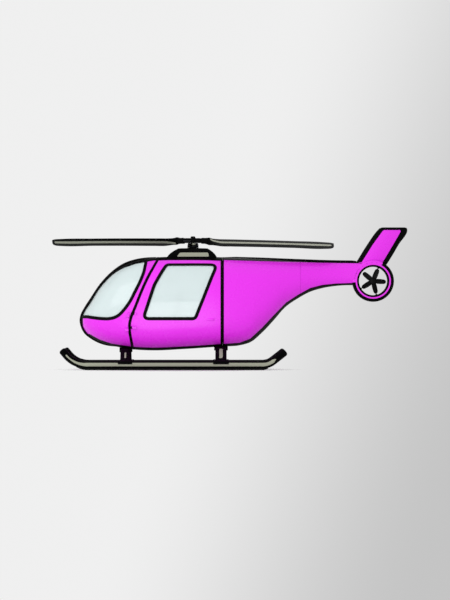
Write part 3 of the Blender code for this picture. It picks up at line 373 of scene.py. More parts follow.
# For each finish: its slot in the record, the function that makes it, and what that is given
FINISHES = {
    # Two-pack polyurethane enamel, sprayed and polished: an even, deep gloss
    "magenta": ("magenta_paint", painted, dict(
        name="gloss_magenta_enamel", colour="body", roughness=0.26, specular=0.3,
    )),
    # Anti-glare enamel: matt, so that the sun on it doesn't blind the pilot
    "black": ("black_enamel", painted, dict(
        name="matt_black_enamel", colour="trim", roughness=TRIM_ROUGHNESS, specular=0.05,
    )),
    # Satin epoxy enamel on metal parts that are handled and flexed
    "grey": ("grey_enamel", painted, dict(
        name="satin_grey_enamel", colour="grey", roughness=0.42, specular=0.12,
    )),
    # Extruded EPDM rubber: dull, a little chalky, with fine pores
    "rubber": ("black_rubber", textured, dict(
        name="extruded_rubber", surface={"Specular IOR Level": 0.06},
        pattern=("Noise", {"Scale": 22.0, "Detail": 5.0}), tones=("#030303", "#0A0A0A"),
        polish=(12.0, 0.55, 0.75), grain=("Noise", {"Scale": 400.0, "Detail": 2.0}), relief=(0.0003, 0.5),
    )),
    "acrylic": ("tinted_acrylic", acrylic, {}),
    # Moulded trim panels with a pale textile finish: flat and soft
    "trim": ("cabin_trim", textured, dict(
        name="pale_cabin_trim", surface={"Roughness": 0.8},
        pattern=("Noise", {"Scale": 260.0, "Detail": 2.0}),
        tones=("#C4CCCF", "#E2E8E9"), relief=(0.0006, 0.6),
    )),
    # Machined steel with a dark phosphate coat: soft grey glints along the edges
    "steel": ("dark_steel", textured, dict(
        name="phosphated_steel", surface={"Metallic": 1.0, "Base Color": linear("#222326")},
        polish=(40.0, 0.3, 0.5), grain=("Noise", {"Scale": 180.0, "Detail": 3.0}), relief=(0.0002, 0.3),
    )),
    # Glass-filled nylon and painted alloy with an even satin black coat
    "satin_black": ("black_enamel", textured, dict(
        name="satin_black_coat", surface={"Specular IOR Level": 0.08},
        pattern=("Noise", {"Scale": 18.0, "Detail": 3.0}), tones=("#050505", "#0C0C0D"),
        polish=(25.0, 0.42, 0.55), grain=("Noise", {"Scale": 500.0, "Detail": 1.0}), relief=(0.0002, 0.3),
    )),
    # Pressed borosilicate lens: clear, with a bright edge
    "clear_glass": ("tinted_acrylic", textured, dict(
        name="pressed_lens_glass", polish=(30.0, 0.02, 0.06), dithered=True,
        surface={"Base Color": linear("#F2F7F8"), "IOR": 1.47, "Alpha": 0.35, "Coat Weight": 0.5},
    )),
    # Vacuum-coated reflector: a nearly perfect mirror with faint spinning marks
    "mirror": ("dark_steel", textured, dict(
        name="aluminised_reflector", surface={"Metallic": 1.0, "Base Color": linear("#E9EBEC")},
        polish=(60.0, 0.05, 0.12),
    )),
    "tinted_steel": ("dark_steel", tinted_steel, {}),
    # Blackened wire cloth, 6 mm mesh, drawn as a bump. Its holes are not cut through: they are painted near
    # black, as painted shade of the dark intake behind them
    "woven_screen": ("black_enamel", textured, dict(
        name="woven_wire_screen", surface={"Metallic": 0.6, "Roughness": 0.6},
        pattern=("Voronoi", {"Scale": 160.0, "Randomness": 0.0}), window=(0.25, 0.5),
        # The near black first tone is the painted shade in the holes, the second is the wire
        tones=("#020202", "#2A2A2B"), relief=(0.001, 0.8),
    )),
    # Flame-proofed wool blend in a basket weave: soft and matt. 3 mm wide, drawn at 5 mm so that it shows
    "seat_cloth": ("seat_fabric", textured, dict(
        name="woven_wool_blend", surface={"Specular IOR Level": 0.2, "Sheen Weight": 0.3},
        pattern=("Voronoi", {"Scale": 200.0, "Randomness": 0.08}), fading=(0.6, 9.0),
        tones=("#C9CFD1", "#9AA3A7"), polish=(15.0, 0.82, 0.95), relief=(0.0015, 0.6),
    )),
    # Welt cord covered in the darker cloth
    "piping": ("seat_fabric", textured, dict(
        name="covered_welt_cord", surface={"Specular IOR Level": 0.2},
        pattern=("Noise", {"Scale": 300.0, "Detail": 2.0}), tones=("#7B8488", "#99A1A4"),
        polish=(60.0, 0.75, 0.9), relief=(0.0006, 0.6),
    )),
    # Polyester belt webbing: fine ribs across, with a faint sheen
    "webbing": ("seat_fabric", textured, dict(
        name="polyester_webbing", surface={"Specular IOR Level": 0.3, "Sheen Weight": 0.2},
        pattern=("Wave", {"Scale": 60.0}, {"bands_direction": "DIAGONAL"}), tones=("#8C9396", "#A9AFB1"),
        polish=(40.0, 0.6, 0.75), relief=(0.0005, 0.5),
    )),
    # Short loop-pile carpet: dull grey with a coarse nap
    "carpet": ("seat_fabric", textured, dict(
        name="loop_pile_carpet", surface={"Specular IOR Level": 0.1}, pattern=("Voronoi", {"Scale": 170.0}),
        tones=("#8F9799", "#B5BCBE"), polish=(20.0, 0.9, 1.0), relief=(0.003, 0.8),
    )),
    # Wrinkle-finish paint on the instrument hood: fine matt ridges that kill reflections. The grooves round
    # each ridge are painted darker than the ridges' crowns, as painted shade in the grooves
    "crackle": ("black_enamel", textured, dict(
        name="wrinkle_finish_paint", surface={"Specular IOR Level": 0.25},
        # The darker first tone lies along the grooves: painted shade
        pattern=("Voronoi", {"Scale": 420.0}, {"feature": "DISTANCE_TO_EDGE"}), tones=("#3E4346", "#585E62"),
        polish=(30.0, 0.6, 0.8), relief=(0.0006, 0.7),
    )),
    # Pale screen-printed ink on the dials
    "ink": ("cabin_trim", textured, dict(
        name="dial_marking_ink", surface={"Roughness": 0.6},
        pattern=("Noise", {"Scale": 120.0, "Detail": 3.0}),
        tones=("#D8DBD6", "#F0F1EC"),
    )),
}
MAGENTA_WALLS, BLACK_WALLS = ("magenta", "trim", "rubber"), ("black", "trim", "rubber")
MADE = {}


def finish_of(word):
    """The material with that short name, made once."""
    if word not in MADE:
        _, maker, given = FINISHES[word]
        MADE[word] = maker(**given)
    return MADE[word]


def spread(first, last, count):
    """Values at count + 1 even places from the first to the last."""
    return [first + (last - first) * i / count for i in range(count + 1)]


def round_turn(count):
    """Angles at even places round a full circle."""
    return spread(0, 2 * pi, count)[:-1]


def linked(name, data):
    """A new object in the scene."""
    made = bpy.data.objects.new(name, data)
    bpy.context.scene.collection.objects.link(made)
    return made


def bmesh_of(mesh):
    bm = bmesh.new()
    bm.from_mesh(mesh)
    return bm


def mesh_of(bm, name="form"):
    """A mesh from a bmesh, its faces turned outwards."""
    bmesh.ops.recalc_face_normals(bm, faces=bm.faces)
    mesh = bpy.data.meshes.new(name)
    bm.to_mesh(mesh)
    bm.free()
    return mesh


def object_of(name, bm, zone=EDGE):
    """An object from a bmesh, in sizes from the mast. Its faces all take the zone's material slot."""
    for face in bm.faces:
        face.material_index = zone
    mesh = mesh_of(bm, name)
    for _ in (OUTSIDE, INSIDE, EDGE):
        mesh.materials.append(None)
    return linked(name, mesh)


def evaluated(made):
    """A plain mesh of what an object's modifiers make of it."""
    return bpy.data.meshes.new_from_object(made.evaluated_get(bpy.context.evaluated_depsgraph_get()))


def apply_modifiers(made):
    bpy.context.view_layer.update()
    result = evaluated(made)
    made.modifiers.clear()
    made.data = result
    return made


def combine(target, operation, others):
    """Applies one Boolean with each of the other objects in turn, and removes them."""
    for other in others:
        modifier = target.modifiers.new("boolean", "BOOLEAN")
        modifier.operation, modifier.object = operation, other
        apply_modifiers(target)
        bpy.data.objects.remove(other)
    return target


def cut(target, *cutters):
    return combine(target, "DIFFERENCE", cutters)


def keep(target, *keepers):
    return combine(target, "INTERSECT", keepers)


FLIP = Matrix.Diagonal((1, -1, 1, 1))


def copy_of(source, name):
    return linked(name, source.data.copy())


def mirrored(source, name):
    """The same form on the other side of the centre plane."""
    made = copy_of(source, name)
    made.data.transform(FLIP)
    made.data.flip_normals()
    return made


def moved(bm, matrix):
    bmesh.ops.transform(bm, matrix=matrix, verts=bm.verts)
    return bm


def mirror_mesh(bm):
    """A copy of a bmesh on the other side of the centre plane."""
    return moved(bm.copy(), FLIP)


def joined(*parts):
    """One bmesh that holds all the parts."""
    whole = bmesh.new()
    for part in parts:
        mesh = bpy.data.meshes.new("part")
        part.to_mesh(mesh)
        part.free()
        whole.from_mesh(mesh)
        bpy.data.meshes.remove(mesh)
    return whole


def ring_mesh(rings, closed=False):
    """A bmesh through rings of points. A ring of one point is a pole. Closed, it runs back to its start."""
    bm = bmesh.new()
    rows = [[bm.verts.new(point) for point in ring] for ring in rings]
    for near, far in [*zip(rows, rows[1:]), *([(rows[-1], rows[0])] if closed else [])]:
        for i in range(max(len(near), len(far))):
            corners = [row[j % len(row)] for row, j in ((near, i), (near, i + 1), (far, i + 1), (far, i))]
            bm.faces.new(dict.fromkeys(corners))
    for end in () if closed else (rows[0], rows[-1]):
        if len(end) > 1:
            bm.faces.new(end)
    return bm


def turned(profile, place, steps=64):
    """A form turned about an axis. The profile is (radius, along), the place a matrix from +Z.

    A profile that starts on the axis gives a knob, and another one gives a ring.
    """
    bm = bmesh.new()
    rows = []
    for turn in round_turn(steps):
        c, s = cos(turn), sin(turn)
        rows.append([bm.verts.new(place @ Vector((r * c, r * s, height))) for r, height in profile])
    count = len(profile)
    for near, far in zip(rows, [*rows[1:], rows[0]]):
        for i in range(count if profile[0][0] else count - 1):
            j = (i + 1) % count
            bm.faces.new((near[i], near[j], far[j], far[i]))
    bmesh.ops.remove_doubles(bm, verts=bm.verts, dist=0.00001)
    return bm


def cube(low, high):
    """A bmesh box between two corners."""
    bm = bmesh.new()
    low, high = Vector(low), Vector(high)
    place = Matrix.Translation((high + low) / 2) @ Matrix.Diagonal((*(high - low), 1))
    bmesh.ops.create_cube(bm, size=1, matrix=place)
    return bm


def block(low, high, width=0.004):
    """A bmesh box between two corners, with rounded edges."""
    bm = cube(low, high)
    bmesh.ops.bevel(bm, geom=bm.edges[:], offset=width, segments=3, profile=0.5, affect="EDGES")
    return bm


def box(name, low, high):
    return object_of(name, cube(low, high))


def prism(name, outline, low, high):
    """An outline of (x, z) drawn out along Y."""
    return object_of(name, ring_mesh([[(x, y, z) for x, z in outline] for y in (low, high)]))


def facing(direction):
    """The rotation from +Z to a direction."""
    return direction.to_track_quat("Z", "Y").to_matrix().to_4x4()


def along(start, end):
    """The place of a turned form whose +Z runs from the start to the end."""
    start = Vector(start)
    return Matrix.Translation(start) @ facing(Vector(end) - start)


def rod(name, start, end, radius, steps=64):
    start, end = Vector(start), Vector(end)
    bm = bmesh.new()
    bmesh.ops.create_cone(
        bm, cap_ends=True, segments=steps, radius1=radius, radius2=radius, depth=(end - start).length,
        matrix=Matrix.Translation((start + end) / 2) @ facing(end - start),
    )
    return object_of(name, bm)


def through(points, steps, measured=None, before=None):
    """Points on a smooth curve through the given ones, with that many steps in each stretch.

    The stretches' lengths are taken from the first measured coordinates. A point before the first one
    sets the curve's direction there.
    """
    points = [Vector(p) for p in points]
    chain = [Vector(before), *points] if before else points
    reach = [0.0]
    for a, b in zip(chain, chain[1:]):
        reach.append(reach[-1] + (Vector(b[:measured]) - Vector(a[:measured])).length)
    slopes = []
    for i in range(len(chain)):
        back = reach[i] - reach[i - 1] if i else 0.0
        ahead = reach[i + 1] - reach[i] if i + 1 < len(chain) else 0.0
        behind = (chain[i] - chain[i - 1]) / back if back else None
        further = (chain[i + 1] - chain[i]) / ahead if ahead else None
        if behind is None or further is None:
            slopes.append(further or behind)
        else:
            slopes.append((behind * ahead + further * back) / (ahead + back))
    first = len(chain) - len(points)
    made = [points[0]]
    for i in range(first, len(chain) - 1):
        span = reach[i + 1] - reach[i]
        for step in range(1, steps + 1):
            t = step / steps
            made.append(
                chain[i] * (2 * t**3 - 3 * t**2 + 1)
                + slopes[i] * (t**3 - 2 * t**2 + t) * span
                + chain[i + 1] * (3 * t**2 - 2 * t**3)
                + slopes[i + 1] * (t**3 - t**2) * span
            )
    return made


def level(line, x):
    """The height of a line of (x, z) points at x, straight between its points."""
    for (x0, z0), (x1, z1) in zip(line, line[1:]):
        if x <= x1:
            return z0 + (z1 - z0) * max(0.0, (x - x0) / (x1 - x0))
    return line[-1][1]


def rounded(corners, radius, steps=8):
    """An outline with each corner turned into an arc, as far as its sides allow."""
    made = []
    count = len(corners)
    for i, corner in enumerate(corners):
        at = Vector(corner)
        before, after = Vector(corners[i - 1]) - at, Vector(corners[(i + 1) % count]) - at
        half = before.angle(after) / 2
        run = min(radius / tan(half), before.length * 0.45, after.length * 0.45)
        first, last = at + before.normalized() * run, at + after.normalized() * run
        for step in range(steps + 1):
            t = step / steps
            made.append((1 - t) ** 2 * first + 2 * t * (1 - t) * at + t**2 * last)
    return made


def section_rows(steps):
    """The fuselage's sections, with that many steps from one to the next. The nose is drawn round."""
    x, top, bottom, half, belt, squareness = SECTIONS[1]
    before = (x, bottom, top, -half, belt, squareness)
    return through(SECTIONS, steps, measured=4, before=before)


def section_ring(row, steps):
    x, top, bottom, half, share, squareness = row
    if half < 0.001:
        return [Vector((x, 0, (top + bottom) / 2))]
    belt = bottom + share * (top - bottom)
    ring = []
    for step in range(4 * steps):
        angle = pi / 2 * step / steps
        c, s = cos(angle), sin(angle)
        reach = (abs(c) ** squareness + abs(s) ** squareness) ** (-1 / squareness)
        height = top - belt if s > 0 else belt - bottom
        ring.append(Vector((x, -half * reach * c, belt + height * reach * s)))
    return ring


def skin_mesh(offset=0.0, coarse=1):
    """The fuselage's outer form from nose to boom, moved out along its normals by the offset."""
    form = bpy.context.scene.helicopter_form
    rows = section_rows(form.section_steps // coarse)
    bm = ring_mesh([section_ring(row, form.ring_steps // coarse) for row in rows])
    bmesh.ops.recalc_face_normals(bm, faces=bm.faces)
    bm.normal_update()
    shifts = [(v, v.normal * offset) for v in bm.verts]
    for v, shift in shifts:
        v.co += shift
    return bm


def layer(name, outer, inner):
    """The skin between two offsets, its outer faces and its inner ones in their own slots."""
    made = object_of(name, skin_mesh(outer), OUTSIDE)
    bm = skin_mesh(inner, coarse=2)
    for face in bm.faces:
        face.material_index = INSIDE
    bmesh.ops.reverse_faces(bm, faces=bm.faces)
    bm.from_mesh(made.data)
    bm.to_mesh(made.data)
    bm.free()
    return made


class Skin:
    """Finds the nearest point on the fuselage's outer form, with the form's smooth direction there."""

    def __init__(self):
        bm = skin_mesh()
        bm.verts.index_update()
        self.places = [v.co.copy() for v in bm.verts]
        self.normals = [v.normal.copy() for v in bm.verts]
        self.faces = [[v.index for v in face.verts] for face in bm.faces]
        self.tree = BVHTree.FromBMesh(bm)
        bm.free()

    def smooth(self, place, index):
        corners = self.faces[index]
        weights = poly_3d_calc([self.places[i] for i in corners], place)
        total = Vector()
        for i, weight in zip(corners, weights):
            total += self.normals[i] * weight
        return total.normalized()

    def nearest(self, point):
        place, _, index, _ = self.tree.find_nearest(point)
        return place, self.smooth(place, index)

    def hit(self, start, direction):
        place, _, index, _ = self.tree.ray_cast(Vector(start), Vector(direction))
        if place is None:
            raise RuntimeError(f"no skin in the way from {start} along {direction}")
        return place

    def side(self, x, z):
        """The point on the left side that a side view shows there."""
        return self.hit((x, -3.0, z), (0, 1, 0))


def skin():
    if "skin" not in MADE:
        MADE["skin"] = Skin()
    return MADE["skin"]


def trim_distance(point):
    """How far a point is inside the black paint, seen from the side."""
    return max(point.z - level(UPPER_PAINT_LINE, point.x), level(LOWER_PAINT_LINE, point.x) - point.z)


def nose_trim(point):
    """The nose's black paint, which also covers its tip and the post between the two windshield panes."""
    post = min(POST_PAINT_HALF - abs(point.y), point.z - POST_PAINT_FOOT_Z, POST_PAINT_REAR_X - point.x)
    return max(trim_distance(point), post, NOSE_TIP_PAINT_X - point.x)


def set_trim(mesh, distance):
    """Stores each point's distance into the trim colour, from a function or a list, for the paint."""
    values = [distance(v.co) for v in mesh.vertices] if callable(distance) else distance
    mesh.attributes.new("trim", "FLOAT", "POINT").data.foreach_set("value", values)


def settle(made, finish, body="airframe", node=None, slot=None):
    """Gives a finished form its materials, puts it where the frame is and has it ride on its body.

    The finish is one word, or one for each of a panel's OUTSIDE, INSIDE and EDGE.
    """
    words = (finish,) if isinstance(finish, str) else finish
    mesh = made.data
    mesh.materials.clear()
    for word in words:
        mesh.materials.append(finish_of(word))
    for polygon in mesh.polygons:
        polygon.material_index = min(polygon.material_index, len(words) - 1)
    mesh.transform(Matrix.Translation((MAST_X, 0, 0)))
    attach(made, body)
    if node:
        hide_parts(node)
    slot or FINISHES[words[0]][0]


def shaded(mesh, sharp_above):
    mesh.shade_smooth()
    mesh.set_sharp_from_angle(angle=radians(sharp_above))


def piece(name, mesh, finish, sharp_above=35, trim=None, **where):
    """A finished piece from a mesh."""
    shaded(mesh, sharp_above)
    if trim:
        set_trim(mesh, trim)
    settle(linked(name, mesh), finish, **where)


def solid(name, bm, finish, **where):
    piece(name, mesh_of(bm, name), finish, **where)


def carrier(side, on_door):
    """The body that a piece on one side rides on."""
    return f"{side}_door" if on_door else "airframe"


def pair(name, bm, finish, on_door=False, node=None, **where):
    """A piece on the left side, and its mirror image on the right."""
    for side, mesh in (("left", bm), ("right", mirror_mesh(bm))):
        stands_for = node and f"{node}_{side}"
        solid(f"{name}_{side}", mesh, finish, body=carrier(side, on_door), node=stands_for, **where)


def panel(made, finish, trim=trim_distance, **where):
    """Finishes a piece cut from the skin: its faces keep the whole skin's smooth directions."""
    mesh = made.data
    mesh.shade_smooth()
    found = [skin().nearest(v.co)[1] for v in mesh.vertices]
    normals = [None] * len(mesh.loops)
    for polygon in mesh.polygons:
        for loop in polygon.loop_indices:
            direction = found[mesh.loops[loop].vertex_index]
            if polygon.material_index == INSIDE:
                direction = -direction
            if polygon.material_index == EDGE or direction.dot(polygon.normal) < 0.6:
                direction = polygon.normal
            normals[loop] = direction
    mesh.normals_split_custom_set(normals)
    set_trim(mesh, trim)
    settle(made, finish, **where)


def node_tree(name, inputs):
    """A Geometry Nodes tree with named inputs and their defaults. Returns it and what it is given."""
    tree = bpy.data.node_groups.new(name, "GeometryNodeTree")
    tree.is_modifier = True
    tree.interface.new_socket("Geometry", in_out="INPUT", socket_type="NodeSocketGeometry")
    for label, value in inputs.items():
        kind = "NodeSocketInt" if isinstance(value, int) else "NodeSocketFloat"
        tree.interface.new_socket(label, in_out="INPUT", socket_type=kind).default_value = value
    tree.interface.new_socket("Material", in_out="INPUT", socket_type="NodeSocketMaterial")
    tree.interface.new_socket("Geometry", in_out="OUTPUT", socket_type="NodeSocketGeometry")
    return tree, tree.nodes.new("NodeGroupInput").outputs


def close_tree(tree, given, geometry):
    """Ends a tree with real meshes in the given material."""
    real = add(tree, "GeometryNodeRealizeInstances", {"Geometry": geometry})
    done = add(tree, "GeometryNodeSetMaterial", {"Geometry": real, "Material": given["Material"]})
    add(tree, "NodeGroupOutput", {"Geometry": done})
    return tree


def heads_tree():
    """Domed heads at even distances along edge paths, each turned to the path's own up."""
    tree, given = node_tree("heads_along_paths", {"Spacing": 0.05, "Head Radius": 0.006, "Flatness": 0.45})
    curve = add(tree, "GeometryNodeMeshToCurve", {"Mesh": given["Geometry"]})
    spaced = {"Curve": curve, "Length": given["Spacing"]}
    points = add(tree, "GeometryNodeResampleCurve", spaced, mode="LENGTH")
    head = add(tree, "GeometryNodeMeshUVSphere", {"Segments": 8, "Rings": 4, "Radius": given["Head Radius"]})
    scale = add(tree, "ShaderNodeCombineXYZ", {"X": 1.0, "Y": 1.0, "Z": given["Flatness"]})
    dome = add(tree, "GeometryNodeTransform", {"Geometry": head, "Scale": scale})
    up = add(tree, "GeometryNodeInputNamedAttribute", {"Name": "up"}, data_type="FLOAT_VECTOR")
    turn = add(tree, "FunctionNodeAlignRotationToVector", {"Vector": up}, axis="Z")
    placed = {"Points": points, "Instance": dome, "Rotation": turn}
    return close_tree(tree, given, add(tree, "GeometryNodeInstanceOnPoints", placed))


def ring_tree():
    """Copies of one form round the Z axis."""
    tree, given = node_tree("copies_round_an_axis", {"Count": 5, "Radius": 0.0, "First Angle": 0.0})
    step = add(tree, "ShaderNodeMath", {0: 2 * pi, 1: given["Count"]}, operation="DIVIDE")
    counted = {0: add(tree, "GeometryNodeInputIndex"), 1: step, 2: given["First Angle"]}
    angle = add(tree, "ShaderNodeMath", counted, operation="MULTIPLY_ADD")
    turn = add(tree, "ShaderNodeCombineXYZ", {"Z": angle})
    first = add(tree, "ShaderNodeCombineXYZ", {"Z": given["First Angle"]})
    circle = add(tree, "GeometryNodeMeshCircle", {"Vertices": given["Count"], "Radius": given["Radius"]})
    points = add(tree, "GeometryNodeTransform", {"Geometry": circle, "Rotation": first})
    placed = {"Points": points, "Instance": given["Geometry"], "Rotation": turn}
    return close_tree(tree, given, add(tree, "GeometryNodeInstanceOnPoints", placed))


def sweep_tree():
    """A flat bar along edge paths: its height stands along the path's own up, its width across."""
    tree, given = node_tree("bars_along_paths", {"Height": 0.02, "Width": 0.003})
    curve = add(tree, "GeometryNodeMeshToCurve", {"Mesh": given["Geometry"]})
    up = add(tree, "GeometryNodeInputNamedAttribute", {"Name": "up"}, data_type="FLOAT_VECTOR")
    upright = add(tree, "GeometryNodeSetCurveNormal", {"Curve": curve, "Normal": up}, mode="FREE")
    sizes = {"Width": given["Height"], "Height": given["Width"]}
    section = add(tree, "GeometryNodeCurvePrimitiveQuadrilateral", sizes)
    swept = {"Curve": upright, "Profile Curve": section, "Fill Caps": True}
    return close_tree(tree, given, add(tree, "GeometryNodeCurveToMesh", swept))


def cord_tree():
    """A round cord along edge paths."""
    tree, given = node_tree("cords_along_paths", {"Radius": 0.004})
    curve = add(tree, "GeometryNodeMeshToCurve", {"Mesh": given["Geometry"]})
    section = add(tree, "GeometryNodeCurvePrimitiveCircle", {"Resolution": 8, "Radius": given["Radius"]})
    swept = {"Curve": curve, "Profile Curve": section, "Fill Caps": True}
    return close_tree(tree, given, add(tree, "GeometryNodeCurveToMesh", swept))


TREES = {"heads": heads_tree, "ring": ring_tree, "sweep": sweep_tree, "cord": cord_tree}


def tree_result(mesh, word, inputs, finish):
    """Runs a tree on a mesh and returns the result as a plain mesh."""
    key = f"tree_{word}"
    if key not in MADE:
        MADE[key] = TREES[word]()
    made = linked(word, mesh)
    modifier = made.modifiers.new(word, "NODES")
    modifier.node_group = MADE[key]
    values = {**inputs, "Material": finish_of(finish)}
    for item in MADE[key].interface.items_tree:
        if item.name in values:
            modifier[item.identifier] = values[item.name]
    result = evaluated(made)
    bpy.data.objects.remove(made)
    if not result.polygons:
        raise RuntimeError(f"the tree {word} came out empty")
    return result


def grown(name, mesh, word, inputs, finish, place=None, **where):
    """A piece of what a tree grows on a mesh."""
    result = tree_result(mesh, word, inputs, finish)
    if place:
        result.transform(place)
    piece(name, result, finish, **where)


def heads(name, paths, spacing, radius, finish="steel", **where):
    """Rivets or screws along paths."""
    grown(name, path_mesh(paths), "heads", {"Spacing": spacing, "Head Radius": radius}, finish, **where)


def path_mesh(paths, closed=False):
    """Edges along paths of (point, up) pairs, with each point's up stored for the trees."""
    if min(len(path) for path in paths) < 2:
        raise RuntimeError("a path has fewer than two points")
    points, edges, ups = [], [], []
    for path in paths:
        first = len(points)
        points += [tuple(point) for point, _ in path]
        ups += [share for _, up in path for share in up]
        edges += [(i, i + 1) for i in range(first, len(points) - 1)]
        if closed:
            edges.append((len(points) - 1, first))
    mesh = bpy.data.meshes.new("paths")
    mesh.from_pydata(points, edges, [])
    mesh.attributes.new("up", "FLOAT_VECTOR", "POINT").data.foreach_set("vector", ups)
    return mesh


def on_skin(points):
    """A path of (point, up) pairs laid on the skin."""
    return [skin().nearest(point) for point in points]


def both_sides(paths):
    """The paths and their mirror images."""
    flip = Vector((1, -1, 1))
    return [*paths, *[[(point * flip, up * flip) for point, up in path] for path in paths]]


FRONT_EDGE = [tuple(p) for p in through(DOOR_FRONT_EDGE, 6)]
DOOR_WINDOW = rounded(DOOR_WINDOW_CORNERS, DOOR_WINDOW_ROUNDING)
LOW_Z, HIGH_Z = -0.5, 3.5  # below and above all of the skin
ROOF_FROM_Z = 1.4  # the belly panel lies below it, with both doors between them


def nose_side(offset):
    """The outline of all that lies ahead of the doors' front edge, moved forward by the offset."""
    edge = [(x - offset, z) for x, z in FRONT_EDGE]
    return [(-3.0, LOW_Z), (edge[0][0], LOW_Z), *edge, (edge[-1][0], HIGH_Z), (-3.0, HIGH_Z)]


def door_form(name, margin):
    """The left door's space through the skin, with each edge moved out by the margin."""
    edge = [(x - margin, z) for x, z in FRONT_EDGE]
    outline = [(edge[0][0], LOW_Z), *edge, (edge[-1][0], HIGH_Z), (2.0, HIGH_Z), (2.0, LOW_Z)]
    steep = margin * hypot(1, DOOR_EDGE_SLOPE)
    rings = []
    for x, bottom, top in (
        (-1.6, DOOR_FRONT_EDGE[0][1], DOOR_FRONT_EDGE[-1][1]),
        (DOOR_REAR_X + 0.2, DOOR_REAR_BOTTOM, DOOR_REAR_TOP),
    ):
        ring = []
        for y in (1.5, 0.2):
            drop = (y - DOOR_EDGE_Y) * DOOR_EDGE_SLOPE
            ring = [(x, -y, bottom - steep - drop), *ring, (x, -y, top + steep + drop)]
        rings.append(ring)
    return keep(prism(name, outline, -2.0, -0.1), object_of("between_edges", ring_mesh(rings)))


def windshield_outline(shrink=0.0):
    """The opening's outline, with its lower and rear edges moved in."""
    edge = [Vector(p) for p in through(WINDSHIELD_EDGE, 5)]
    line = []
    for i, point in enumerate(edge):
        ahead = edge[min(i + 1, len(edge) - 1)] - edge[max(i - 1, 0)]
        line.append(point + Vector((-ahead.y, ahead.x)).normalized() * shrink)
    return [(-2.6, line[0].y + 0.015), *line, (line[-1].x, 2.6), (-2.6, 2.6)]


class HELICOPTER_OT_cabin(bpy.types.Operator):
    """Builds the nose, the roof, the belly and both door skins"""

    bl_idname = "helicopter.cabin"
    bl_label = "Cabin Shell and Doors"

    def execute(self, context):
        ahead = box("cabin_length", (-6, -3, -1), (FRAME_JOIN_X - SEAM, 3, 5))
        cabin = keep(layer("cabin_skin", 0.0, -WALL), ahead)
        door = keep(copy_of(cabin, "door_left_skin"), door_form("door_edge", -DOOR_GAP / 2))
        inner_x = DOOR_REAR_X + 0.010 - DOOR_REAR_GAP - 0.55 * DOOR_REAR_TAPER
        corners = ((inner_x + 0.8 * DOOR_REAR_TAPER, -1.0), (2.0, -1.0), (2.0, -0.2), (inner_x, -0.2))
        cut(door, object_of("rear_clearance", ring_mesh([[(x, y, z) for x, y in corners] for z in (-1, 4)])))
        cut(door, prism("window_hole", DOOR_WINDOW, -1.5, 0.0))
        other = mirrored(door, "door_right_skin")

        opening = door_form("door_opening", DOOR_GAP / 2)
        shell = cut(cabin, mirrored(opening, "other_opening"), opening)
        nose = keep(copy_of(shell, "nose_skin"), prism("ahead_of_door", nose_side(SEAM), -2.0, 2.0))
        behind = cut(shell, prism("nose_part", nose_side(-SEAM), -2.1, 2.1))
        roof = keep(copy_of(behind, "roof_skin"), box("upper", (-6, -3, ROOF_FROM_Z), (6, 3, 5)))
        belly = keep(behind, box("lower", (-6, -3, -1), (6, 3, ROOF_FROM_Z)))
        belly.name = "belly_skin"
        post = box("post", (-2.5, -CENTRE_POST_HALF, 0.9), (-0.8, CENTRE_POST_HALF, 2.6))
        panes = cut(prism("windshield_opening", windshield_outline(), -1.0, 1.0), post)
        cut(nose, rod("lamp_hole", *LAMP_AXIS, LAMP_HOLE), panes)

        panel(nose, MAGENTA_WALLS, trim=nose_trim, node="nose_shell")
        panel(roof, BLACK_WALLS, node="roof_panel")
        panel(belly, BLACK_WALLS, node="belly_panel")
        panel(door, MAGENTA_WALLS, body="left_door", node="door_left")
        panel(other, MAGENTA_WALLS, body="right_door", node="door_right")
        return {"FINISHED"}


def grille_corners():
    return [Vector((corner.x - MAST_X, 0, corner.z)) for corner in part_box("air_intake_grille")]


def grille_space(name, border=0.0):
    """The grille's space through the right side, with its edges moved in."""
    low, high = grille_corners()
    return box(name, (low.x + border, 0.3, low.z + border), (high.x - border, 1.0, high.z - border))


FAN_SEAT_RADIUS = 0.400  # of the hole in the boom, inside the duct's outer edge


class HELICOPTER_OT_rear(bpy.types.Operator):
    """Builds the rear fuselage and the tail boom"""

    bl_idname = "helicopter.rear"
    bl_label = "Rear Fuselage and Boom"

    def execute(self, context):
        whole = layer("rear_skin", 0.0, -WALL)
        length = box("length", (FRAME_JOIN_X, -3, -1), (BOOM_JOIN_X - SEAM, 3, 5))
        body = keep(copy_of(whole, "rear_fuselage_skin"), length)
        boom = keep(whole, box("boom_length", (BOOM_JOIN_X + SEAM, -3, -1), (6, 3, 5)))
        boom.name = "tail_boom_skin"
        cut(boom, rod("fan_seat", (FAN_X, -1, FAN_Z), (FAN_X, 1, FAN_Z), FAN_SEAT_RADIUS, steps=96))
        cut(body, grille_space("grille_hole"))
        panel(body, MAGENTA_WALLS, node="rear_fuselage")
        panel(boom, MAGENTA_WALLS, node="tail_boom")
        return {"FINISHED"}


WINDSHIELD_PLAY, DOOR_WINDOW_SHARE = 0.001, 0.998  # the panes are that much smaller than their openings


class HELICOPTER_OT_glazing(bpy.types.Operator):
    """Builds the two windshield panes and the two door windows"""

    bl_idname = "helicopter.glazing"
    bl_label = "Glazing"

    def execute(self, context):
        sheet = layer("pane", -GLASS_DEPTH, -GLASS_DEPTH - GLASS_THICKNESS)
        outline = windshield_outline(WINDSHIELD_PLAY)
        outline = prism("pane_outline", outline, -1.0, -CENTRE_POST_HALF - WINDSHIELD_PLAY)
        pane = keep(copy_of(sheet, "windshield_pane_left"), outline)
        middle = sum(DOOR_WINDOW, Vector((0, 0))) / len(DOOR_WINDOW)
        smaller = [middle + (p - middle) * DOOR_WINDOW_SHARE for p in DOOR_WINDOW]
        door_pane = keep(sheet, prism("window_outline", smaller, -1.5, -0.05))
        door_pane.name = "door_pane_left"
        for made, node, on_door in ((pane, "windshield", False), (door_pane, "door_window", True)):
            other = mirrored(made, made.name.replace("left", "right"))
            for form, side in ((made, "left"), (other, "right")):
                panel(form, "acrylic", body=carrier(side, on_door), node=f"{node}_{side}")
        return {"FINISHED"}


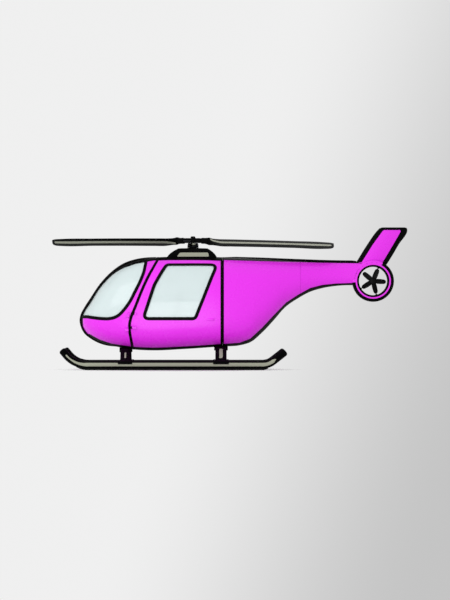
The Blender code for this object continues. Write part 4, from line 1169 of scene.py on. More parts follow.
def even(path, spacing, closed=False):
    """The path again with points at even distances."""
    points = [*path, path[0]] if closed else list(path)
    reach = [0.0]
    for a, b in zip(points, points[1:]):
        reach.append(reach[-1] + (b - a).length)
    count = max(2, round(reach[-1] / spacing))
    made, i = [], 0
    for step in range(count + (0 if closed else 1)):
        at = reach[-1] * step / count
        while i < len(points) - 2 and reach[i + 1] < at:
            i += 1
        made.append(points[i].lerp(points[i + 1], (at - reach[i]) / max(1e-9, reach[i + 1] - reach[i])))
    return made


def side_path(line, spacing, closed=False):
    """A path on the left side, over a line of (x, z)."""
    return even([skin().side(x, z) for x, z in line], spacing, closed)


def seal_section(low, high, height, sink=0.003):
    """A low rubber strip with rounded edges, as (across, above the skin)."""
    edge = min(0.2 * (high - low), 0.006)
    return (
        (low, -sink), (low, height * 0.3), (low + 0.4 * edge, height * 0.8), (low + edge, height),
        ((low + high) / 2, height * 1.08), (high - edge, height), (high - 0.4 * edge, height * 0.8),
        (high, height * 0.3), (high, -sink),
    )


def strip_mesh(path, section, closed=False):
    """A strip that follows a path on the skin. Across is to the path's right, seen from outside."""
    rings = []
    count = len(path)
    for i, point in enumerate(path):
        before = path[i - 1] if closed or i else path[0]
        after = path[(i + 1) % count] if closed or i + 1 < count else path[-1]
        place, normal = skin().nearest(point)
        right = (after - before).cross(normal).normalized()
        feet = [(skin().nearest(place + right * across), lift) for across, lift in section]
        rings.append([foot + up * lift for (foot, up), lift in feet])
    return ring_mesh(rings, closed)


# A windshield seal's front end runs round the nose about this x, and its rear end round this height
SEAL_TURN_X, SEAL_TURN_Z = -1.95, 1.9


def windshield_path():
    """Along the left pane's lower and rear edge, from the nose's centre to the roof's centre."""
    front_z = WINDSHIELD_EDGE[0][1] + 0.008
    path = []
    for degree in range(0, 60, 5):
        turn = radians(degree)
        path.append(skin().hit((SEAL_TURN_X, 0, front_z), (-cos(turn), -sin(turn), 0)))
    for x, z in through(WINDSHIELD_EDGE, 5):
        if x > path[-1].x + 0.02:
            path.append(skin().side(x, z))
    rear_x = WINDSHIELD_EDGE[-1][0]
    low = atan2(path[-1].z - SEAL_TURN_Z, -path[-1].y)
    for turn in spread(low, pi / 2, 12)[1:]:
        path.append(skin().hit((rear_x, 0, SEAL_TURN_Z), (0, -cos(turn), sin(turn))))
    return even(path, 0.022)


def ring_path(x, low=-pi / 2, high=pi / 2, middle=1.3):
    """Round the left side at one x, between two angles from the middle height, upwards positive."""
    ways = [(0, -cos(turn), sin(turn)) for turn in spread(low, high, 64)]
    return even([skin().hit((x, 0, middle), way) for way in ways], 0.03)


FRONT_SEAL_FOOT, JAMB_FOOT_Z, JAMB_HEAD = 0.480, 0.450, (-0.732, 2.312)
# Angles round the section where the door's rear edge and the joint tapes end, upwards positive
REAR_EDGE_LOW, REAR_EDGE_HIGH = radians(-61.8), radians(68.2)
BELLY_TAPE_END, ROOF_TAPE_START, JAMB_OVERRUN = radians(-64.5), radians(69), 0.08
TAPE_HALF, TAPE_HEIGHT, EDGE_SEAL_HEIGHT = 0.028, 0.003, 0.004
# The black flange behind each gap lies under the skin, as (across, above the skin)
JAMB_TOP, JAMB_FOOT = -WALL - 0.0015, -WALL - 0.006
JAMB_SECTION = ((-0.030, JAMB_TOP), (0.030, JAMB_TOP), (0.030, JAMB_FOOT), (-0.030, JAMB_FOOT))


class HELICOPTER_OT_seals(bpy.types.Operator):
    """Lays the rubber round the windows and along the doors' edges"""

    bl_idname = "helicopter.seals"
    bl_label = "Rubber Seals"

    def execute(self, context):
        form = context.scene.helicopter_form
        width = form.door_seal_width
        half, near, far = form.seal_width / 2, DOOR_GAP / 2 - 0.0005, DOOR_GAP / 2 + width
        round_window = seal_section(-half, half, form.seal_height)
        tape = seal_section(-TAPE_HALF, TAPE_HALF, TAPE_HEIGHT)
        foot = level([(z, x) for x, z in FRONT_EDGE], FRONT_SEAL_FOOT)
        edge = [(foot, FRONT_SEAL_FOOT), *[(x, z) for x, z in FRONT_EDGE if z > FRONT_SEAL_FOOT + 0.01]]
        edge = side_path(edge, 0.03)
        longer = side_path([(FRONT_EDGE[0][0], JAMB_FOOT_Z), *FRONT_EDGE, JAMB_HEAD], 0.03)
        low, high, lift = REAR_EDGE_LOW, REAR_EDGE_HIGH, EDGE_SEAL_HEIGHT
        rear_x = DOOR_REAR_X + 0.010 - DOOR_REAR_GAP
        jamb_x = (rear_x + FRAME_JOIN_X) / 2
        rear_jamb = ring_path(jamb_x, low - JAMB_OVERRUN, high + JAMB_OVERRUN)
        for name, path, section, on_door in (
            ("windshield_seal", windshield_path(), round_window, False),
            ("window_seal", side_path(DOOR_WINDOW, 0.025, closed=True), round_window, True),
            ("door_front_seal", edge, seal_section(near, far, lift), True),
            ("nose_edge_seal", edge, seal_section(-far, -near, lift), False),
            ("door_rear_seal", ring_path(rear_x, low, high), seal_section(-width, 0.0005, lift), True),
            ("body_front_seal", ring_path(FRAME_JOIN_X), seal_section(0.0, width + 0.002, lift), False),
            ("door_front_jamb", longer, JAMB_SECTION, False),
            ("door_rear_jamb", rear_jamb, JAMB_SECTION, False),
            ("belly_joint_tape", ring_path(DOOR_FRONT_EDGE[0][0], high=BELLY_TAPE_END), tape, False),
            ("roof_joint_tape", ring_path(DOOR_FRONT_EDGE[-1][0], low=ROOF_TAPE_START), tape, False),
        ):
            pair(name, strip_mesh(path, section, closed=name == "window_seal"), "rubber", on_door)
        return {"FINISHED"}


class HELICOPTER_OT_ridge(bpy.types.Operator):
    """Builds the strip over the nose and the cover of the tail shaft"""

    bl_idname = "helicopter.ridge"
    bl_label = "Nose Strip and Shaft Cover"

    def execute(self, context):
        half = CENTRE_POST_HALF + 0.003
        left = ((-1.0, -0.02), (-1.0, 0.3), (-0.82, 0.75), (-0.45, 0.96))
        section = (*left, (0, 1.0), *[(-share, rise) for share, rise in reversed(left)])
        rings = []
        for x, z in through(NOSE_STRIP_EDGE, 4):
            crown = Vector((x, 0, z))
            foot, out = skin().nearest(crown)
            height = (crown - foot).dot(out)
            rings.append([
                foot + Vector((0, half * share, 0)) + out * (height * rise if rise > 0 else -0.010)
                for share, rise in section
            ])
        solid("nose_strip_rubber", ring_mesh(rings), "rubber", node="nose_strip")

        arch = [(-cos(turn) * (0.25 * sin(turn) + 1) * 0.96, sin(turn)) for turn in spread(0, pi, 20)[1:-1]]
        rings = []
        for x in spread(SHAFT_COVER[0][0], SHAFT_COVER[-1][0], 60):
            width, height, roof = shaft_cover_at(x)
            section = ((-1.0, -0.5), (-1.0, 0.1), *arch, (1.0, 0.1), (1.0, -0.5))
            rings.append([(x, width * y, roof + height * z - 0.004) for y, z in section])
        solid("shaft_cover_shell", ring_mesh(rings), "black", node="shaft_cover")
        return {"FINISHED"}


def shaft_cover_at(x):
    """The cover's half width, its height above the skin, and the skin's top at x."""
    width = level([(place, width) for place, width, _ in SHAFT_COVER], x)
    height = level([(place, height) for place, _, height in SHAFT_COVER], x)
    return width, height, level([(row[0], row[1]) for row in section_rows(8)], x)


def arc(centre, radius, first, last, steps=6):
    """Points round a centre, between two angles in degrees."""
    turns = [radians(turn) for turn in spread(first, last, steps)]
    return [(centre[0] + radius * cos(turn), centre[1] + radius * sin(turn)) for turn in turns]


FAN_PLACE = Matrix.Translation((FAN_X, 0, FAN_Z)) @ Matrix.Rotation(radians(90), 4, "X")
SHROUD_RADIUS, DUCT_RADIUS, SHROUD_HALF_DEPTH = 0.436, 0.298, 0.150
DUCT_LIP, OUTER_ROUNDING = 0.034, 0.028
LIP_PAINT_WIDTH, RIM_PAINT_WIDTH = 0.042, 0.066
RIM_PAINT_FIRST, RIM_PAINT_LAST = -176, 62  # degrees, from the rear upwards


def shroud_trim(point):
    """Black on the duct's lips, and on the outer edge from under the boom round to the fin."""
    x, z = point.x - FAN_X, point.z - FAN_Z
    radius, angle = hypot(x, z), degrees(atan2(z, x))
    free = min(angle - RIM_PAINT_FIRST, RIM_PAINT_LAST - angle) / 180
    rim = min(radius - (SHROUD_RADIUS - RIM_PAINT_WIDTH), free)
    return max(DUCT_RADIUS + LIP_PAINT_WIDTH - radius, rim)


# (z, leading edge x, trailing edge x, half thickness)
FIN_STATIONS = (
    (2.200, 3.390, 4.063, 0.092), (2.300, 3.455, 4.128, 0.085), (2.620, 3.655, 4.318, 0.065),
    (2.935, 3.885, 4.500, 0.042), (2.985, 3.935, 4.488, 0.032),
)
FIN_BOOT, FIN_CAP, FIN_BOOT_FOOT_Z = 0.118, 0.058, 2.24
FIN_TOP = FIN_STATIONS[-1][0] - 0.016  # where its rounded tip begins


def fin_thickness(share):
    """The fin's half thickness at a share of its chord, where the thickest place is about 1."""
    return 2.9 * sqrt(share) - 2.2 * share - 0.68 * share**3


def fin_trim(point):
    lead = level([(z, x) for z, x, _, _ in FIN_STATIONS], point.z)
    trail = level([(z, x) for z, _, x, _ in FIN_STATIONS], point.z)
    rear = max(point.x - trail + FIN_BOOT, point.z - (FIN_STATIONS[-1][0] - FIN_CAP))
    return max(lead + FIN_BOOT - point.x, rear) if point.z > FIN_BOOT_FOOT_Z else rear


class HELICOPTER_OT_tail(bpy.types.Operator):
    """Builds the fan's duct and the fin"""

    bl_idname = "helicopter.tail"
    bl_label = "Fan Duct and Fin"

    def execute(self, context):
        inner = (DUCT_RADIUS + DUCT_LIP, SHROUD_HALF_DEPTH - DUCT_LIP)
        outer = (SHROUD_RADIUS - OUTER_ROUNDING, SHROUD_HALF_DEPTH - OUTER_ROUNDING)
        # The flat face has rings 4 mm apart, because the paint's edges lie on its points
        face = [(radius / 1000, SHROUD_HALF_DEPTH) for radius in range(336, 404, 4)]
        side = [*arc(inner, DUCT_LIP, 180, 90, 10), *face, *arc(outer, OUTER_ROUNDING, 90, 0, 8)]
        profile = [(DUCT_RADIUS, -0.07), (DUCT_RADIUS, 0.07), *side, (SHROUD_RADIUS, 0.06)]
        profile += [(SHROUD_RADIUS, -0.06), *[(r, -y) for r, y in reversed(side)]]
        duct = turned(profile, FAN_PLACE, 160)
        solid("fan_duct", duct, "magenta", trim=shroud_trim, node="tail_fan_shroud")
        rings = []
        for z, lead, trail, half in through(FIN_STATIONS, 10):
            near = []
            for turn in spread(0, pi, 24):
                share = (1 - cos(turn)) / 2
                thick = fin_thickness(share) if share < 1 else 0.02
                near.append((lead + (trail - lead) * share, max(thick, 0.02) * half, z))
            rings.append([*near, *[(x, -y, height) for x, y, height in reversed(near[1:-1])]])
        centre = sum(x for x, _, _ in rings[-1]) / len(rings[-1])
        for shrink, rise in ((0.96, 0.010), (0.85, 0.016)):
            tip = [
                (centre + (x - centre) * shrink, y * shrink * 0.8, FIN_TOP + rise) for x, y, _ in rings[-1]
            ]
            rings.append(tip)
        rings[:-2] = [[(x, y, min(z, FIN_TOP)) for x, y, z in ring] for ring in rings[:-2]]
        solid("fin_shell", ring_mesh(rings), "magenta", trim=fin_trim, node="vertical_fin")
        return {"FINISHED"}


# (height, front x, rear x, half width) of the mast cowling
COWLING_LEVELS = (
    (2.240, -0.600, 0.545, 0.290), (2.380, -0.530, 0.490, 0.270), (2.510, -0.370, 0.360, 0.200),
    (2.541, -0.310, 0.310, 0.165),
)
COWLING_CORNER, COWLING_WALL, MAST_HOLE = 0.090, 0.012, 0.132
# Its grey field: the lowest and highest z, and each end as (x at the foot, change of x for each metre up)
GREY_LOW_Z, GREY_HIGH_Z, GREY_FOOT_Z = 2.370, 2.454, 2.360
GREY_FRONT, GREY_REAR = (-0.345, 0.8), (0.345, -0.3)


def cowling_ring(z, front, rear, half, inset=0.0, steps=8, side_steps=20):
    """Four round corners, with points along the sides between them for the paint's edges."""
    front, rear, half = front + inset, rear - inset, half - inset
    outline = rounded(((front, -half), (rear, -half), (rear, half), (front, half)), COWLING_CORNER, steps)
    ring = []
    for i, point in enumerate(outline):
        ring.append(point)
        if i % (steps + 1) == steps:
            after = outline[(i + 1) % len(outline)]
            ring += [point.lerp(after, step / side_steps) for step in range(1, side_steps)]
    return [(p.x, p.y, z - inset) for p in ring]


def cowling_trim(point):
    """Grey in the middle of each side, black round it."""
    front, rear = (x + lean * (point.z - GREY_FOOT_Z) for x, lean in (GREY_FRONT, GREY_REAR))
    return max(GREY_LOW_Z - point.z, point.z - GREY_HIGH_Z, front - point.x, point.x - rear)


class HELICOPTER_OT_cowling(bpy.types.Operator):
    """Builds the cowling over the gearbox"""

    bl_idname = "helicopter.cowling"
    bl_label = "Mast Cowling"

    def execute(self, context):
        levels = through(COWLING_LEVELS, 8)
        rings = [cowling_ring(*row) for row in levels]
        top = rings[-1]
        for share, rise in ((0.35, 0.005), (0.7, 0.006), (1.0, 0.004), (1.0, -0.016)):
            ring = []
            for x, y, z in top:
                hole = Vector((x, y)).normalized() * MAST_HOLE
                ring.append((x + (hole.x - x) * share, y + (hole.y - y) * share, z + rise))
            rings.append(ring)
        rings += [cowling_ring(*row, inset=COWLING_WALL) for row in reversed(levels)]
        shell = ring_mesh(rings, closed=True)
        solid("mast_cowling", shell, "grey", trim=cowling_trim, node="mast_fairing")
        return {"FINISHED"}


UPRIGHT, HALF_TURN = Matrix.Identity(4), Matrix.Rotation(pi, 4, "Z")
ACROSS = Matrix.Rotation(radians(90), 4, "X")  # turns +Z towards -Y
ON_ROTOR = {"body": "main_rotor", "slot": "dark_steel"}
HUB_HALF_HEIGHT, MAST_RADIUS = 0.045, 0.042
HUB_LOW, HUB_HIGH = ROTOR_Z - HUB_HALF_HEIGHT, ROTOR_Z + HUB_HALF_HEIGHT
PITCH_LINK_X, PITCH_LINK_Y, HORN_HALF_HEIGHT = -0.066, -0.092, 0.012
GRIP_TOP, PLEATS = 0.064, 8
BLADE_DROOP, BLADE_TEETER = 0.040, 0.012
PITCH_AXIS_SHARE = 0.27  # of the chord, from the leading edge
# (radius, chord, thickness, pitch in degrees, how round the section is)
BLADE_STATIONS = (
    (0.172, 0.090, 0.090, 20.0, 1.0), (0.250, 0.120, 0.092, 20.0, 0.9), (0.340, 0.225, 0.082, 20.0, 0.5),
    (0.440, 0.350, 0.062, 20.0, 0.1), (0.580, 0.430, 0.050, 20.0, 0.0), (0.800, 0.440, 0.049, 19.8, 0.0),
    (1.300, 0.440, 0.048, 19.5, 0.0), (2.100, 0.440, 0.046, 19.0, 0.0), (2.780, 0.440, 0.042, 18.5, 0.0),
    (2.880, 0.405, 0.036, 18.5, 0.0), (2.925, 0.345, 0.028, 18.5, 0.0), (2.948, 0.270, 0.020, 18.5, 0.0),
    (2.958, 0.180, 0.012, 18.5, 0.0),
)
# Shares of the chord where the black ends and starts again, above and below
UPPER_STRIPS, LOWER_STRIPS = (0.44, 0.64), (0.20, 0.50)
BLADE_BLACK_ROOT, BLADE_BLACK_TIP = 0.36, 2.905
AIRFOIL_POWERS = ((0.5, 0.2969), (1, -0.126), (2, -0.3516), (3, 0.2843), (4, -0.1015))


def blade_rings(teeter):
    """A blade along -X with its leading edge towards -Y, and each point's distance into the black strips."""
    rings, trims = [], []
    for radius, chord, thickness, pitch, roundness in through(BLADE_STATIONS, 6):
        turned_by = Matrix.Rotation(radians(pitch), 2)
        rise = teeter * radius - BLADE_DROOP * (radius / ROTOR_RADIUS) ** 2
        ring = []
        for turn in round_turn(36):
            share = (1 - cos(turn)) / 2
            half = 5 * thickness * sum(factor * share**power for power, factor in AIRFOIL_POWERS)
            wing = Vector(((PITCH_AXIS_SHARE - share) * chord, copysign(max(half, 0.0012), pi - turn)))
            round_part = Vector((cos(turn), sin(turn))) * chord / 2
            across, up = turned_by @ wing.lerp(round_part, max(0.0, min(1.0, roundness)))
            ring.append((-radius, -across, ROTOR_Z + up + rise))
            leading, trailing = UPPER_STRIPS if turn < pi else LOWER_STRIPS
            strip = max(leading - share, share - trailing) * chord
            trims.append(max(strip, BLADE_BLACK_ROOT - radius, radius - BLADE_BLACK_TIP))
        rings.append(ring)
    return rings, trims


class HELICOPTER_OT_rotor(bpy.types.Operator):
    """Builds the mast, the swashplate, the hub, the pitch links and the two blades"""

    bl_idname = "helicopter.rotor"
    bl_label = "Main Rotor"

    def execute(self, context):
        self.mast()
        self.swashplate()
        self.hub()
        for word, teeter, place in (("front", BLADE_TEETER, UPRIGHT), ("rear", -BLADE_TEETER, HALF_TURN)):
            self.blade(word, teeter, place)
            self.pitch_link(word, place)
        return {"FINISHED"}

    def mast(self):
        """The shaft with its collar, and the gaiter where it leaves the cowling."""
        r, base, top = MAST_RADIUS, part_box("mast")[0].z, HUB_LOW - 0.0005
        collar = [(r, 2.606), (r + 0.012, 2.610), (r + 0.012, 2.634), (r, 2.638)]
        shaft = turned([(0, base), (r, base), *collar, (r, top), (0, top)], UPRIGHT, 48)
        solid("rotor_mast", shaft, "grey", node="mast", **ON_ROTOR)
        gaiter = [
            (0.129, 2.446), (0.129, 2.548), (0.124, 2.5525), (0.112, 2.556), (0.100, 2.556), (0.097, 2.552),
            (0.120, 2.546), (0.120, 2.446),
        ]
        solid("mast_gaiter", turned(gaiter, UPRIGHT), "rubber")

    def swashplate(self):
        """The two rings and the dome over them, and the scissors that turn the upper one."""
        low, high = (corner.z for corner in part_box("swashplate"))
        bore = MAST_RADIUS + 0.0006
        profile = [
            (bore, low), (0.104, low), (0.119, low + 0.003), (0.122, low + 0.008), (0.114, low + 0.011),
            (0.114, low + 0.013), (0.122, low + 0.016), (0.119, high - 0.003), (0.108, high), (0.097, high),
            (0.094, high + 0.008), (0.066, high + 0.032), (0.056, high + 0.036), (bore, high + 0.036),
        ]
        solid("swashplate_rings", turned(profile, UPRIGHT, 72), "steel", node="swashplate", **ON_ROTOR)
        lower = block((0.084, -0.020, high - 0.001), (0.116, 0.020, high + 0.030), 0.005)
        upper = block((0.044, -0.015, high + 0.026), (0.114, 0.015, high + 0.046), 0.005)
        place = Matrix.Translation((0.104, 0, high + 0.028)) @ ACROSS
        pin = turned([(0, -0.026), (0.008, -0.026), (0.008, 0.026), (0, 0.026)], place, 16)
        link = joined(lower, upper, pin)
        solid("drive_scissors", joined(link.copy(), moved(link, HALF_TURN)), "steel", **ON_ROTOR)

    def hub(self):
        """A yoke between the grips, its pivot through the mast, and the nut on top."""
        half, low, high = BLADE_STATIONS[0][0] - 0.0005, HUB_LOW, HUB_HIGH
        yoke = block((-half, -0.060, low), (half, 0.060, high), 0.012)
        plate = block((-half + 0.006, -0.070, low + 0.002), (-0.064, 0.070, high + 0.014), 0.008)
        other = moved(plate.copy(), HALF_TURN)
        pin = [(0, -0.095), (0.026, -0.095), (0.030, -0.090), (0.030, 0.090), (0.026, 0.095), (0, 0.095)]
        pivot = turned(pin, Matrix.Translation((0, 0, ROTOR_Z)) @ ACROSS, 32)
        nut = [(0, high), (0.062, high), (0.062, high + 0.016), (0.056, high + 0.020), (0, high + 0.020)]
        cap = [
            (0, high + 0.010), (0.050, high + 0.010), (0.048, high + 0.040), (0.040, high + 0.050),
            (0, high + 0.053),
        ]
        whole = joined(yoke, plate, other, pivot, turned(nut, UPRIGHT, 6), turned(cap, UPRIGHT, 40))
        solid("hub_yoke", whole, "black", node="rotor_hub", **ON_ROTOR)

    def blade(self, word, teeter, place):
        """A blade, and its grip with two rows of bolts."""
        rings, trims = blade_rings(teeter)
        solid(
            f"rotor_blade_{word}", moved(ring_mesh(rings), place), "grey", trim=trims, sharp_above=50,
            body="main_rotor", node=f"main_blade_{word}",
        )
        grip = block((-0.345, -0.078, ROTOR_Z - 0.060), (-0.166, 0.078, ROTOR_Z + GRIP_TOP), 0.022)
        solid(f"blade_grip_{word}", moved(grip, place), "black", body="main_rotor")
        up, top = Vector((0, 0, 1)), ROTOR_Z + GRIP_TOP
        rows = [[(place @ Vector((x, y, top)), up) for x in (-0.215, -0.295)] for y in (-0.03, 0.03)]
        heads(f"grip_bolts_{word}", rows, 0.080, 0.011, **ON_ROTOR)

    def pitch_link(self, word, place):
        """The horn on the grip, and the rod below it in its pleated boot."""
        low, high = ROTOR_Z - HORN_HALF_HEIGHT, ROTOR_Z + HORN_HALF_HEIGHT
        arm = block((-0.235, -0.118, low), (-0.200, -0.030, high))
        horn = joined(arm, block((-0.235, -0.118, low), (-0.050, -0.080, high)))
        solid(f"pitch_horn_{word}", moved(horn, place), "steel", **ON_ROTOR)
        foot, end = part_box("pitch_link_front")[0].z, low - 0.0005
        eye = [(0, 0), (0.013, 0), (0.014, 0.012), (0.0095, 0.020), (0.0075, 0.026)]
        profile = [*[(r, foot + z) for r, z in eye], *[(r, end - z) for r, z in reversed(eye)]]
        upright = place @ Matrix.Translation((PITCH_LINK_X, PITCH_LINK_Y, 0))
        link = turned(profile, upright, 20)
        solid(f"pitch_rod_{word}", link, "steel", node=f"pitch_link_{word}", **ON_ROTOR)
        first, last = foot + 0.018, HUB_LOW - 0.006
        pleats = [(0.010, first), (0.030, first)]
        for z in spread(first, last, PLEATS)[:-1]:
            pleats += [(0.037, z + 0.001), (0.043, z + 0.005), (0.037, z + 0.009)]
        boot = turned([*pleats, (0.010, last)], upright, 32)
        solid(f"pitch_rod_boot_{word}", boot, "rubber", body="main_rotor")


SKID_Y, SKID_RADIUS, SKID_AXIS_Z = 0.860, 0.080, 0.112
SKID_BENDS = (  # (bend x, bend radius, angle, straight end, direction)
    (-2.210, 0.550, 50, 0.110, -1),
    (1.460, 0.350, 38, 0.290, 1),
)
# The rounded ends as (share of the size, distance past the end)
SKID_ENDS = ((0.98, 0.008), (0.92, 0.018), (0.82, 0.028), (0.66, 0.037), (0.42, 0.043), (0.16, 0.045))
SKID_GREY = (-0.42, 0.50)  # the bare grey side lies between these shares of the radius
SKID_BLACK_TIP, THINNER_AT_FRONT, THINNER_AT_REAR = 0.075, 2.0, 1.1  # the grey's shares lost for each metre
# (name, x, height of the belly, half chord, half width and top of the bare grey stripe)
CROSS_TUBES = (("front", -1.407, 0.444, 0.105, 0.018, 0.365), ("rear", 0.588, 0.482, 0.118, 0.036, 0.440))
LEG_HALF_THICKNESS, GREY_STRIPE_FOOT = 0.034, 0.250
# (x, thickness) of the wear shoe
SHOE_THICKNESSES = (
    (-2.398, 0.006), (-2.306, 0.022), (-2.210, 0.032), (1.460, 0.032), (1.506, 0.025), (1.552, 0.008),
)
CLAMP_OVERHANG, SADDLE_OVERHANG = 0.025, 0.045  # past each side of the leg


def skid_axis():
    """The skid's axis as (x, z), from the raised front tip to the raised rear tip."""
    points = []
    for bend_x, radius, angle, straight, direction in SKID_BENDS:
        run = []
        for turn in spread(0, radians(angle), 16):
            run.append((bend_x + direction * radius * sin(turn), SKID_AXIS_Z + radius * (1 - cos(turn))))
        x, z = run[-1]
        turn = radians(angle)
        run.append((x + direction * straight * cos(turn), z + straight * sin(turn)))
        points += reversed(run) if direction < 0 else run
    return [Vector(p) for p in points]


def tube(path, across, steps, half_sizes, ends=()):
    """Oval rings along a path, square to it. across is the direction of the first half size.

    The ends are rounded by rings of (share of the size, distance past the end).
    """
    across, path = Vector(across), [Vector(p) for p in path]
    rings = []
    for i, point in enumerate(path):
        ahead = (path[min(i + 1, len(path) - 1)] - path[max(i - 1, 0)]).normalized()
        up = ahead.cross(across).normalized()
        ring = [
            point + across * cos(turn) * half_sizes[0] + up * sin(turn) * half_sizes[1]
            for turn in round_turn(steps)
        ]
        rings.append(ring)
        if i in (0, len(path) - 1):
            past = ahead if i else -ahead
            caps = [[point + (p - point) * share + past * out for p in ring] for share, out in ends]
            rings = [*rings, *caps] if i else [*reversed(caps), *rings]
    return rings


def pipe(*shape):
    return ring_mesh(tube(*shape))


class HELICOPTER_OT_skids(bpy.types.Operator):
    """Builds the skids with their walkway tape, and the cross tubes with their saddles and clamps"""

    bl_idname = "helicopter.skids"
    bl_label = "Skid Gear"

    def execute(self, context):
        axis = skid_axis()
        path = [Vector((p.x, -SKID_Y, p.y)) for p in axis]
        rings = tube(path, (0, 1, 0), 40, (SKID_RADIUS, SKID_RADIUS), SKID_ENDS)
        front, rear = SKID_BENDS[0][0], SKID_BENDS[1][0]
        trims = []
        for ring in rings:
            centre = sum(ring, Vector()) / len(ring)
            to_end = min((centre - path[0]).length, (centre - path[-1]).length)
            thinner = max(0.0, THINNER_AT_FRONT * (front - centre.x), THINNER_AT_REAR * (centre.x - rear))
            low, high = (share * max(0.3, 1 - thinner) for share in SKID_GREY)
            for p in ring:
                up = (p.z - centre.z) / SKID_RADIUS
                strip = max(low - up, up - high) * SKID_RADIUS
                trims.append(max(SKID_BLACK_TIP - to_end, strip))
        pair("skid_tube", ring_mesh(rings), "grey", trim=trims, node="skid")
        pair("walkway_tape", self.tape(axis), "rubber")
        pair("wear_shoe", self.shoe(axis), "rubber", node="skid_shoe")
        screws = []
        for side in (-1, 1):
            ends = [Vector((x, -SKID_Y + side * 0.0515, SKID_AXIS_Z - 0.082)) for x in (-2.160, 1.410)]
            screws.append([(p, Vector((0, side, 0))) for p in ends])
        heads("shoe_screws", both_sides(screws), 0.24, 0.009)
        for row in CROSS_TUBES:
            self.cross_tube(*row)
        return {"FINISHED"}

    def tape(self, axis):
        """Grit tape over the top of the skid's straight run and the start of its bends."""
        run = [p for p in axis if SKID_BENDS[0][0] - 0.20 < p.x < SKID_BENDS[1][0] + 0.12]
        rings = []
        for i, p in enumerate(run):
            ahead = (run[min(i + 1, len(run) - 1)] - run[max(i - 1, 0)]).normalized()
            up = Vector((-ahead.y, 0, ahead.x))
            ring = []
            for radius, turns in (
                (SKID_RADIUS + 0.003, range(-58, 59, 4)), (SKID_RADIUS - 0.002, range(58, -59, -4)),
            ):
                for turn in turns:
                    side = Vector((0, sin(radians(turn)), 0))
                    ring.append(Vector((p.x, -SKID_Y, p.y)) + (side + up * cos(radians(turn))) * radius)
            rings.append(ring)
        return ring_mesh(rings)

    def shoe(self, axis):
        """The wear shoe under the skid, thinner where the skid rises."""
        rings = []
        first, last = SHOE_THICKNESSES[0][0], SHOE_THICKNESSES[-1][0]
        line = [(p.x, p.y) for p in axis]
        groove = SKID_RADIUS + 0.0006
        for x in [first, *[p.x for p in axis if first < p.x < last], last]:
            ahead = Vector((0.02, level(line, x + 0.01) - level(line, x - 0.01))).normalized()
            down = Vector((ahead.y, 0, -ahead.x))
            sole = SKID_RADIUS + level(SHOE_THICKNESSES, x)
            edge = ((0.040, sole), (0.0475, sole - 0.003), (0.050, sole - 0.010))
            outline = [*[(-a, d) for a, d in reversed(edge)], *edge]
            turns = [radians(42 - 7 * step) for step in range(13)]
            outline += [(groove * sin(turn), groove * cos(turn)) for turn in turns]
            centre = Vector((x, -SKID_Y, level(line, x)))
            rings.append([centre + Vector((0, across, 0)) + down * depth for across, depth in outline])
        return ring_mesh(rings)

    def cross_tube(self, word, x, belly_z, half_chord, grey_half, grey_top):
        run_z = belly_z - LEG_HALF_THICKNESS - 0.004
        bent = [
            (0.0, run_z), (0.420, run_z), (0.500, run_z - 0.012), (0.560, run_z - 0.045),
            (0.680, run_z - 0.120), (SKID_Y, SKID_AXIS_Z + 0.058),
        ]
        half = through([(x, y, z) for y, z in bent], 6)
        whole = [Vector((p.x, -p.y, p.z)) for p in reversed(half[1:])] + half
        parts = [pipe(whole, (1, 0, 0), 36, (half_chord, LEG_HALF_THICKNESS))]
        parts += [self.saddle(x, side * SKID_Y, half_chord + SADDLE_OVERHANG) for side in (-1, 1)]
        reach = half_chord + CLAMP_OVERHANG
        for inner, outer in ((-0.3, -0.2), (0.2, 0.3)):
            low, high = (x - reach, inner, run_z - 0.040), (x + reach, outer, belly_z + 0.020)
            parts.append(block(low, high, 0.008))

        def trim(p):
            return max(abs(p.x - x) - grey_half, GREY_STRIPE_FOOT - p.z, p.z - grey_top)

        solid(f"cross_tube_{word}_pipe", joined(*parts), "grey", trim=trim, node=f"cross_tube_{word}")

    def saddle(self, x, y, half):
        """A sleeve over the skid's upper half, with rounded ends."""
        rings = []
        inside = arc((0, 0), SKID_RADIUS + 0.0006, 172, 8, 24)
        for end in (-1, 1):
            for back, radius in ((0.0, 0.086), (0.004, 0.0915), (0.010, 0.0935))[::-end]:
                outline = [*arc((0, 0), radius, 8, 172, 20), *inside]
                at = x + end * (half - back)
                rings.append([(at, y + across, SKID_AXIS_Z + up) for across, up in outline])
        return ring_mesh(rings)


# The fan, seen along its axis: (distance out, half width) of a blade
FAN_BLADE = (
    (0.030, 0.034), (0.070, 0.054), (0.110, 0.058), (0.190, 0.055), (0.232, 0.050), (0.254, 0.040),
    (0.267, 0.024), (0.2715, 0.008),
)
FAN_BLADES, FAN_TURN, FAN_PITCH, FAN_BLADE_HALF_THICKNESS, FAN_BLADE_SHIFT = 5, -4.0, 24.0, 0.008, 0.020
# The hub's radius, and its heights and the gearbox's from the fan's plane, towards the left side
FAN_HUB, FAN_HUB_LOW, FAN_HUB_HIGH, FAN_HUB_DOME = 0.070, -0.020, 0.060, 0.022
GEARBOX_LOW, GEARBOX_HIGH, STRUT_DEPTH, STRUT_RADIUS = -0.115, -0.028, -0.052, 0.016


def bolt(radius, height, z=0.0):
    """A hexagonal head on its washer, standing on z."""
    washer = radius * 1.5
    return turned([
        (0, z - 0.002), (washer, z - 0.002), (washer, z + height * 0.25), (radius, z + height * 0.25),
        (radius, z + height * 0.9), (radius * 0.85, z + height), (0, z + height),
    ], UPRIGHT, 6)


